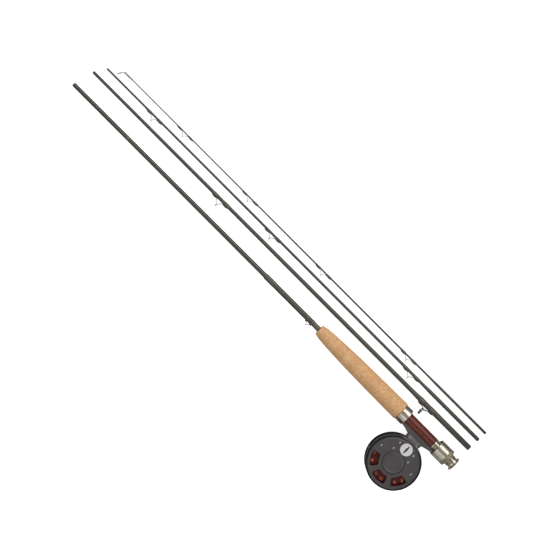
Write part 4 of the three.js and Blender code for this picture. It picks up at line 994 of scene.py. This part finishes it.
def reel_foot():
    """Saddle that lies along the seat, thin at its toes, with the neck that carries the frame."""
    low, high = FRONT_TOE, REAR_TOE
    inner, mouth = SEAT_RADIUS + GAP, MOUTH_TO_REEL - GAP
    levels = []
    for x in np.linspace(low, high, 90):
        inside = abs(x) > mouth
        share = min(1.0, max(0.0, (mouth - abs(x)) / (mouth - NECK_HALF)))
        depth = TOE_RADIUS - 0.3 + 3.7 * share ** 1.7
        tip = min(x - low, high - x)
        toe = math.sqrt(max(0.0, 1 - (1 - min(1.0, tip / 4.0)) ** 2))
        half = FOOT_HALF_WIDTH * (0.55 + 0.45 * toe)
        if inside:
            depth = min(depth, TOE_RADIUS - 0.8 + 0.8 * min(1, tip / 5))
        outer = []
        for t in np.linspace(-1, 1, 17):
            z = half * math.sin(t * math.pi / 2)
            crown = depth - 0.9 * (1 - math.cos(t * math.pi / 2)) ** 1.5 * (1 + share)
            y = -min(crown, math.sqrt(TOE_RADIUS ** 2 - z * z)) if inside else -crown
            outer.append((x, min(y, -math.sqrt(inner ** 2 - z * z) - 0.25), z))
        under = [(x, -math.sqrt(inner ** 2 - z * z), z) for z in np.linspace(half, -half, 9)]
        levels.append(outer + under)
    saddle = lofted(levels)

    neck_levels = []
    waist, corner = 6.0, 0.35  # half width under the saddle, and how square the section is
    for y in np.linspace(-inner + 1.2, -NECK_DEPTH - 3, 14):
        share = min(1.0, max(0.0, (-y - 12.5) / 6.5))
        half_x = NECK_HALF + 1.8 * (1 - share) ** 2
        half_z = waist + (NECK_HALF_WIDTH - waist) * share ** 0.8
        loop = []
        for k in range(40):
            t = 2 * math.pi * k / 40
            c, s = math.cos(t), math.sin(t)
            loop.append((half_x * math.copysign(abs(c) ** corner, c), y,
                         half_z * math.copysign(abs(s) ** corner, s)))
        neck_levels.append(loop)
    seat = turned([(0, low - 5), (inner, low - 5), (inner, high + 5), (0, high + 5)], 96)
    rim = moved(turned([(0, -20), (FRAME_RADIUS + GAP, -20), (FRAME_RADIUS + GAP, 20), (0, 20)],
                       160, axis="Z"), y=-REEL_DROP)
    shape = carved(saddle, ("UNION", lofted(neck_levels)), ("DIFFERENCE", seat),
                   ("DIFFERENCE", rim))
    piece("reel_foot_saddle", moved(shape, x=REEL_PLACE), BUTT, "root", CHARCOAL,
          "reel_charcoal", "reel_foot", sharp=38)


# ------------------------------------------------------------------ reel

def on_reel(radius, angle):
    """Place on the reel; the angle is counted from the foot towards the butt end."""
    return radius * math.sin(math.radians(angle)), radius * math.cos(math.radians(angle))


def window_tool(centre, ease=0.3):
    """Cutter for one window, flared at the top to break the edge."""
    middle, half = math.pi / 2 - math.radians(centre), math.radians(WINDOW_HALF)
    levels = []
    for z, grow in ((BACK_INNER - 2, 0), (BACK_OUTER - ease, 0), (BACK_OUTER + ease, 2 * ease)):
        corner = WINDOW_CORNER + grow * 0.5
        inner, outer = WINDOW_INNER - grow, WINDOW_OUTER + grow
        low, far = half + grow / inner, half + grow / outer

        def bend(radius, end, inward, side):
            """Rounded corner, from the arc to the window's straight side."""
            return [(radius + inward * corner * (1 - math.cos(t)),
                     side * (end - corner / radius * (1 - math.sin(t))))
                    for t in np.linspace(0, math.pi / 2, 8)[1:]]

        outer_arc = np.linspace(-far + corner / outer, far - corner / outer, 24)
        inner_arc = np.linspace(low - corner / inner, -low + corner / inner, 18)
        loop = [(outer, t) for t in outer_arc]
        loop += bend(outer, far, -1, 1) + bend(inner, low, 1, 1)[::-1]
        loop += [(inner, t) for t in inner_arc]
        loop += bend(inner, low, 1, -1) + bend(outer, far, -1, -1)[::-1]
        levels.append([(r * math.cos(middle + t), r * math.sin(middle + t), z) for r, t in loop])
    return lofted(levels)


def hole(spot, outline, sides=32):
    """Carving step that turns a hole out at a spot on the reel."""
    return "DIFFERENCE", moved(turned(outline, sides, axis="Z"), *spot)


def back_plate():
    """Windowed plate with a raised rim. The sloping step inside the rim and the rim's own slope
    catch the light as two thin arcs."""
    step, dial_seat = WINDOW_OUTER + 0.4, DIAL_BOTTOM - GAP
    body = eased([
        (PLATE_BORE, BACK_INNER), (RIM_INNER, BACK_INNER), (RIM_INNER, RIM_END, 0.3),
        (FRAME_RADIUS, RIM_END, 0.5), (FRAME_RADIUS, OUTER_FACE - 0.3, 0.3),
        (FRAME_RADIUS - 1.2, RIM_TOP, 0.3), (RIM_INNER + 0.5, RIM_TOP, 0.3),
        (RIM_INNER - 0.5, BACK_OUTER - 0.5, 0.3), (step + 1.0, BACK_OUTER - 0.5, 0.2),
        (step, BACK_OUTER, 0.2), (DIAL_RADIUS + 0.5, BACK_OUTER, 0.15),
        (DIAL_RADIUS + GAP, dial_seat), (PLATE_BORE, dial_seat)])
    steps = [("DIFFERENCE", window_tool(angle)) for angle in WINDOW_ANGLES]
    wide, above = BADGE_RADIUS + GAP, BACK_OUTER + 1
    recess = [(0, BADGE_BOTTOM - GAP), (wide, BADGE_BOTTOM - GAP), (wide, BACK_OUTER - 0.2),
              (wide + 0.3, BACK_OUTER + 0.1), (wide + 0.3, above), (0, above)]
    steps.append(hole(on_reel(BADGE_CIRCLE, 0), recess, 72))
    shank, head, floor_of_head = SCREW_SHANK + GAP, SCREW_HEAD + 0.25, SCREW_SEAT - GAP
    seat = [(0, BACK_INNER - 1), (shank, BACK_INNER - 1), (shank, floor_of_head),
            (head, floor_of_head), (head, BACK_OUTER - 0.1), (head + 0.25, BACK_OUTER + 0.1),
            (head + 0.25, above), (0, above)]
    steps += [hole(spot, seat) for spot in screw_spots().values()]
    piece("reel_back_plate_shell", carved(turned(body, 180, axis="Z"), *steps), REEL, "root",
          PLATE, "reel_charcoal", "reel_back_plate", sharp=25)


def screw_spots():
    """Places of the six small screws: two carry the pawls, four the pawls' springs."""
    spots = {}
    for hand, side in (("left", -1), ("right", 1)):
        spots[f"pawl_screw_{hand}"] = on_reel(PAWL_CIRCLE, side * PAWL_ANGLE)
        for k, angle in enumerate(SPRING_ANGLES):
            spots[f"spring_screw_{hand}_{k + 1}"] = on_reel(SPRING_CIRCLE, side * angle)
    return spots


def back_screws():
    body = turned(eased([(0, SCREW_END), (SCREW_SHANK, SCREW_END, 0.1), (SCREW_SHANK, SCREW_SEAT),
                         (SCREW_HEAD, SCREW_SEAT, 0.1), (SCREW_HEAD, SCREW_SEAT + 0.45, 0.35),
                         (SCREW_HEAD * 0.62, SCREW_TOP, 0.6), (0, SCREW_TOP)]), 32, axis="Z")
    slot = block(2.5, 0.22, SCREW_TOP - 0.4, SCREW_TOP + 1)
    for index, (name, spot) in enumerate(screw_spots().items()):
        turn = Matrix.Rotation(math.radians(25 + 67 * index), 4, "Z")
        shape = moved(carved(body, ("DIFFERENCE", moved(slot, matrix=turn))), *spot)
        piece(f"{name}_slotted", shape, REEL, "root", STEEL, "steel", name)


def badge():
    """Satin round badge with a plain raised rim and a dark lozenge."""
    edge, top = BADGE_RADIUS, BADGE_TOP
    disc = turned(eased([(0, BADGE_BOTTOM), (edge, BADGE_BOTTOM, 0.1), (edge, top - 0.2, 0.25),
                         (edge - 0.5, top, 0.2), (edge - 1.1, top, 0.1), (edge - 1.3, top - 0.25),
                         (edge - 1.6, top - 0.25, 0.1), (0, top - 0.12)]), 96, axis="Z")
    spot = on_reel(BADGE_CIRCLE, 0)
    piece("round_badge", moved(disc, *spot), REEL, "root", BADGE, "steel", "back_badge")
    half_wide, half_long = 1.4, 6.8
    turns = np.arange(40) / 40 * 2 * math.pi
    lozenge = [[((half_wide + grow) * math.cos(t) * (1 - 0.25 * abs(math.sin(t))),
                 (half_long + grow) * math.sin(t), z) for t in turns]
               for z, grow in ((top - 0.5, 0), (top - 0.02, 0), (top + 0.06, -0.15))]
    piece("badge_lozenge", moved(lofted(lozenge), *spot), REEL, "root", ENAMEL, "reel_black")


def drag_dial():
    """Low dial over the spindle's end, finely milled round its edge."""
    def milled(r, along, angles):
        if r < DIAL_RADIUS - 0.7 or along < DIAL_BOTTOM + 0.6:
            return np.full(len(angles), r)
        return r - DIAL_NOTCH_DEPTH * np.clip(np.cos(angles * DIAL_NOTCHES) * 1.5 - 0.6, 0, 1)

    outline = eased([(0, SPINDLE_TOP + GAP), (PLATE_BORE, SPINDLE_TOP + GAP),
                     (PLATE_BORE, DIAL_BOTTOM),
                     (DIAL_RADIUS, DIAL_BOTTOM, 0.1), (DIAL_RADIUS, DIAL_TOP - 0.6, 0.3),
                     (DIAL_RADIUS - 0.8, DIAL_TOP, 0.3), (DIAL_RADIUS - 2.4, DIAL_TOP, 0.3),
                     (DIAL_RADIUS - 3.4, DIAL_TOP - 0.45, 0.3), (2.2, DIAL_TOP - 0.35, 0.3),
                     (0, DIAL_TOP - 0.35)])
    piece("drag_dial_disc", turned(stepped(outline, 0.5), 240, axis="Z", relief=milled), REEL,
          "drag_dial_body", CHARCOAL, "reel_charcoal", "drag_dial", sharp=40)


def frame_parts():
    """Front ring, the pillars that carry it, and the bridge that the foot is screwed to."""
    ring = eased([(RIM_INNER, -OUTER_FACE, 0.3), (FRAME_RADIUS, -OUTER_FACE, 0.6),
                  (FRAME_RADIUS, RING_INNER, 0.4), (RIM_INNER, RING_INNER, 0.3)])
    piece("reel_front_ring_band", turned(ring, 180, axis="Z"), REEL, "root", BLACK, "reel_black",
          "reel_front_ring")
    circle = (FRAME_RADIUS + RIM_INNER) / 2 - 0.2
    low, high = RING_INNER + GAP, RIM_END - GAP
    thick, slim = PILLAR_RADIUS, PILLAR_WAIST
    pillar = turned(eased([(0, low), (thick, low, 0.1), (thick, low + 1.2, 0.2),
                           (slim, low + 2.0, 0.5), (slim, high - 2.0, 0.5),
                           (thick, high - 1.2, 0.2), (thick, high, 0.1), (0, high)]), 28, axis="Z")
    for index, angle in enumerate(PILLAR_ANGLES, 1):
        piece(f"frame_pillar_{index}_post", moved(pillar, *on_reel(circle, angle)), REEL, "root",
              BLACK, "reel_black", f"frame_pillar_{index}")
    inner, outer = RIM_INNER - 0.6, FRAME_RADIUS
    half = math.asin((NECK_HALF - 0.6) / FRAME_RADIUS)
    levels = []
    for z, ease in ((low, 0.35), (low + 0.35, 0), (high - 0.35, 0), (high, 0.35)):
        turns = np.linspace(-half + ease / outer, half - ease / outer, 24)
        loop = [((outer - ease) * math.sin(t), (outer - ease) * math.cos(t), z) for t in turns]
        loop += [((inner + ease) * math.sin(t), (inner + ease) * math.cos(t), z)
                 for t in turns[::-1]]
        levels.append(loop)
    steps = []
    middle = (RING_INNER + RIM_END) / 2
    lay_down = Matrix.Rotation(-math.pi / 2, 4, "X")
    inside, outside, head_seat = 28, 42, RIM_INNER + 0.9
    for x in (-FOOT_SCREW_PLACE, FOOT_SCREW_PLACE):
        for radius, end in ((FOOT_SCREW_HOLE, outside), (FOOT_SCREW_HEAD, head_seat)):
            tool = turned([(0, inside), (radius, inside), (radius, end), (0, end)], 28, axis="Z")
            steps.append(("DIFFERENCE", moved(tool, x, z=middle, matrix=lay_down)))
    piece("foot_bridge_block", carved(lofted(levels), *steps), REEL, "root", BLACK, "reel_black",
          "foot_bridge")


def on_spool(circle, turn=0.0):
    """Place on the spool; the angle is counted from the handle."""
    turn = math.radians(HANDLE_ANGLE + turn)
    return circle * math.cos(turn), circle * math.sin(turn)


def flange(low, high, ports, inner):
    """One side of the spool: a thin disc with a rolled rim, drilled for lightness."""
    disc = eased([(inner, low), (SPOOL_RADIUS - 0.3, low, 0.2), (SPOOL_RADIUS, low + 0.3, 0.2),
                  (SPOOL_RADIUS, high - 0.3, 0.2), (SPOOL_RADIUS - 0.3, high, 0.2), (inner, high)])
    steps = []
    for spot, radius in ports:
        wide = radius + 0.4
        port = [(0, low - 1), (wide, low - 1), (wide, low - 0.1), (radius, low + 0.25),
                (radius, high - 0.25), (wide, high + 0.1), (wide, high + 1), (0, high + 1)]
        steps.append(hole(spot, port, 28))
    return carved(turned(disc, 160, axis="Z"), *steps)


def spool():
    """Two drilled flanges on an arbor, and the hub. The handle's post and the counterweight sit
    in two of the front flange's places."""
    rear_ports = [(on_spool(REAR_PORT_CIRCLE, (k + 0.5) * 360 / REAR_PORTS), REAR_PORT_RADIUS)
                  for k in range(REAR_PORTS)]
    front_ports = [(on_spool(HANDLE_CIRCLE, k * 360 / FRONT_PORTS),
                    FRONT_PORT_RADIUS if k % (FRONT_PORTS // 2) else POST_RADIUS + GAP)
                   for k in range(FRONT_PORTS)]
    front_ports += [(on_spool(INNER_PORT_CIRCLE, 30 + k * 60), INNER_PORT_RADIUS)
                    for k in range(6)]
    wall = ARBOR_RADIUS - 1.2
    rear = flange(REAR_FLANGE, SPOOL_BACK, rear_ports, wall)
    front = flange(SPOOL_FRONT, FRONT_FLANGE, front_ports, BUSH_RADIUS)
    arbor = turned([(wall, FRONT_FLANGE - 0.3), (ARBOR_RADIUS, FRONT_FLANGE - 0.3),
                    (ARBOR_RADIUS, SPOOL_BACK - 0.2), (wall, SPOOL_BACK - 0.2)], 96, axis="Z")
    hub = turned(eased([(BUSH_RADIUS, FRONT_FLANGE - 0.4), (HUB_RADIUS, FRONT_FLANGE - 0.4),
                        (HUB_RADIUS, SPOOL_BACK, 0.2), (HUB_NECK, SPOOL_BACK),
                        (HUB_NECK, GEAR_TOP, 0.2), (BUSH_RADIUS, GEAR_TOP)]), 72, axis="Z")
    shape = carved(front, ("UNION", arbor), ("UNION", hub), ("UNION", rear))
    piece("ported_spool", shape, REEL, "spool_body", BURGUNDY, "burgundy_anodised", "spool",
          sharp=25)


def line_winding():
    """Backing laid turn beside turn across the spool, the top layer crossing a little."""
    thick = 0.45
    low, high = FRONT_FLANGE + GAP + thick, REAR_FLANGE - GAP - thick
    inside, outside = ARBOR_RADIUS + GAP, LINE_RADIUS - 1.2
    core = turned([(inside, low - 0.4), (outside, low - 0.4), (outside, high + 0.4),
                   (inside, high + 0.4)], 96, axis="Z")
    steps = 60  # points to a turn
    count = int((high - low) / (2 * thick * 0.98)) * steps
    line = []
    for k in range(count + 1):
        angle = 2 * math.pi * k / steps
        share = k / count
        crown = LINE_RADIUS - thick - 0.4 * abs(2 * share - 1) ** 3
        sway = 0.12 * math.sin(angle * 0.37) + 0.08 * math.sin(angle * 1.31)
        line.append((crown * math.cos(angle), crown * math.sin(angle),
                     low + (high - low) * share + sway * min(1, 10 * share, 10 * (1 - share))))
    piece("backing_line_turns", together(core, wire(line, thick, 8)), REEL, "spool_body", BACKING,
          "backing_line", "line_winding", sharp=80)


def handle_side():
    """What stands on the spool's face: handle, counterweight, hub cap and release button."""
    spot = on_spool(HANDLE_CIRCLE)
    head = KNOB_BOTTOM + 1.4
    post = eased([(0, head - 1.2), (POST_HEAD, head - 1.2, 0.4), (POST_HEAD, head, 0.1),
                  (POST_RADIUS, head), (POST_RADIUS, HANDLE_FACE - 1.4),
                  (3.4, HANDLE_FACE - 1.4, 0.3), (3.4, HANDLE_FACE, 0.1),
                  (POST_RADIUS, HANDLE_FACE), (POST_RADIUS, FRONT_FLANGE - 0.1, 0.1),
                  (0, FRONT_FLANGE - 0.1)])
    slot = block(3, 0.3, head - 2, head - 0.7)
    shape = carved(turned(post, 40, axis="Z"), ("DIFFERENCE", slot))
    piece("handle_post_screw", moved(shape, *spot), REEL, "spool_body", STEEL, "steel",
          "handle_post")

    length = KNOB_TOP - KNOB_BOTTOM
    bore, wide = POST_RADIUS + GAP, POST_HEAD + GAP
    swell = curved([(KNOB_END, KNOB_BOTTOM, 0), (KNOB_RADIUS - 0.4, KNOB_BOTTOM + 1.2, 0),
                    (KNOB_RADIUS, KNOB_BOTTOM + 4, 0),
                    (KNOB_RADIUS - 0.6, KNOB_BOTTOM + length * 0.45, 0),
                    (KNOB_NECK + 0.4, KNOB_BOTTOM + length * 0.72, 0),
                    (KNOB_NECK, KNOB_BOTTOM + length * 0.84, 0),
                    (KNOB_NECK + 0.8, KNOB_TOP - 0.6, 0), (KNOB_NECK + 0.5, KNOB_TOP, 0)], 6)
    knob = [(bore, KNOB_TOP), (bore, head + GAP), (wide, head + GAP), (wide, KNOB_BOTTOM)]
    knob += [(p[0], p[1]) for p in swell]
    piece("handle_knob_grip", moved(turned(knob, 56, axis="Z"), *spot), REEL, "handle_knob_body",
          KNOB, "knob_black", "handle_knob")

    weight = eased([(0, HANDLE_FACE - 2.3), (3.8, HANDLE_FACE - 2.3, 0.8), (3.8, HANDLE_FACE, 0.1),
                    (POST_RADIUS, HANDLE_FACE), (POST_RADIUS, FRONT_FLANGE - 0.1, 0.1),
                    (0, FRONT_FLANGE - 0.1)])
    piece("spool_counterweight", moved(turned(weight, 48, axis="Z"), -spot[0], -spot[1]), REEL,
          "spool_body", STEEL, "steel", "counterweight")

    bore = BUTTON_RADIUS + GAP
    floor_of_cap, face_of_cap = HANDLE_FACE - 0.6, HANDLE_FACE - HUB_CAP_HEIGHT
    cap = eased([(0, HANDLE_FACE), (HUB_CAP_RADIUS, HANDLE_FACE, 0.1),
                 (HUB_CAP_RADIUS, HANDLE_FACE - 2.6, 0.5), (HUB_CAP_RADIUS - 1.4, face_of_cap, 0.5),
                 (bore, face_of_cap, 0.3), (bore, floor_of_cap), (0, floor_of_cap)])
    piece("hub_cap_turned", turned(cap, 72, axis="Z"), REEL, "spool_body", CHARCOAL,
          "reel_charcoal", "hub_cap")
    travel = 0.8
    front, back = face_of_cap - 1.2, floor_of_cap - travel - 0.2
    button = eased([(0, front + 0.8), (2.0, front + 0.8), (2.0, back), (BUTTON_RADIUS, back, 0.1),
                    (BUTTON_RADIUS, front, 0.45), (1.4, front, 0.3), (0, front + 0.18)])
    piece("release_button_cap", turned(button, 40, axis="Z"), REEL, "release_button_body", STEEL,
          "steel", "release_button")


def working_parts():
    """The parts behind the back plate are right as drawn, and only need their finish."""
    finishes = {"click_gear": BRONZE, "spool_bush": BRONZE, "drag_disc": FELT}
    for name in ("click_gear", "spool_bush", "drag_disc", "pressure_plate", "disc_spring",
                 "spindle", "pawl_spring_left", "pawl_spring_right", "click_pawl_left",
                 "click_pawl_right", "foot_screw_1", "foot_screw_2", "release_spring"):
        mesh = frame["nodes"][name].data
        mesh.materials.clear()
        mesh.materials.append(finishes.get(name, STEEL))


butt_section()
for section in SECTIONS:
    loose_blank(section)
snake_guides()
stripping_guide()
tip_top()
cork_grip()
reel_seat()
reel_foot()
back_plate()
back_screws()
badge()
drag_dial()
frame_parts()
spool()
line_winding()
handle_side()
working_parts()

span, clearance = 6.0, 0.0002  # metres
floor_mesh = bpy.data.meshes.new("floor")
floor_mesh.from_pydata([(-span, -span, 0), (span, -span, 0), (span, span, 0), (-span, span, 0)],
                       [], [(0, 1, 2, 3)])
floor_mesh.materials.append(pale_floor())
floor = bpy.data.objects.new("floor", floor_mesh)
floor.location.z = min(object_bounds()[0].z, 0.0) - clearance
floor.visible_glossy = floor.visible_diffuse = False
bpy.context.scene.collection.objects.link(floor)
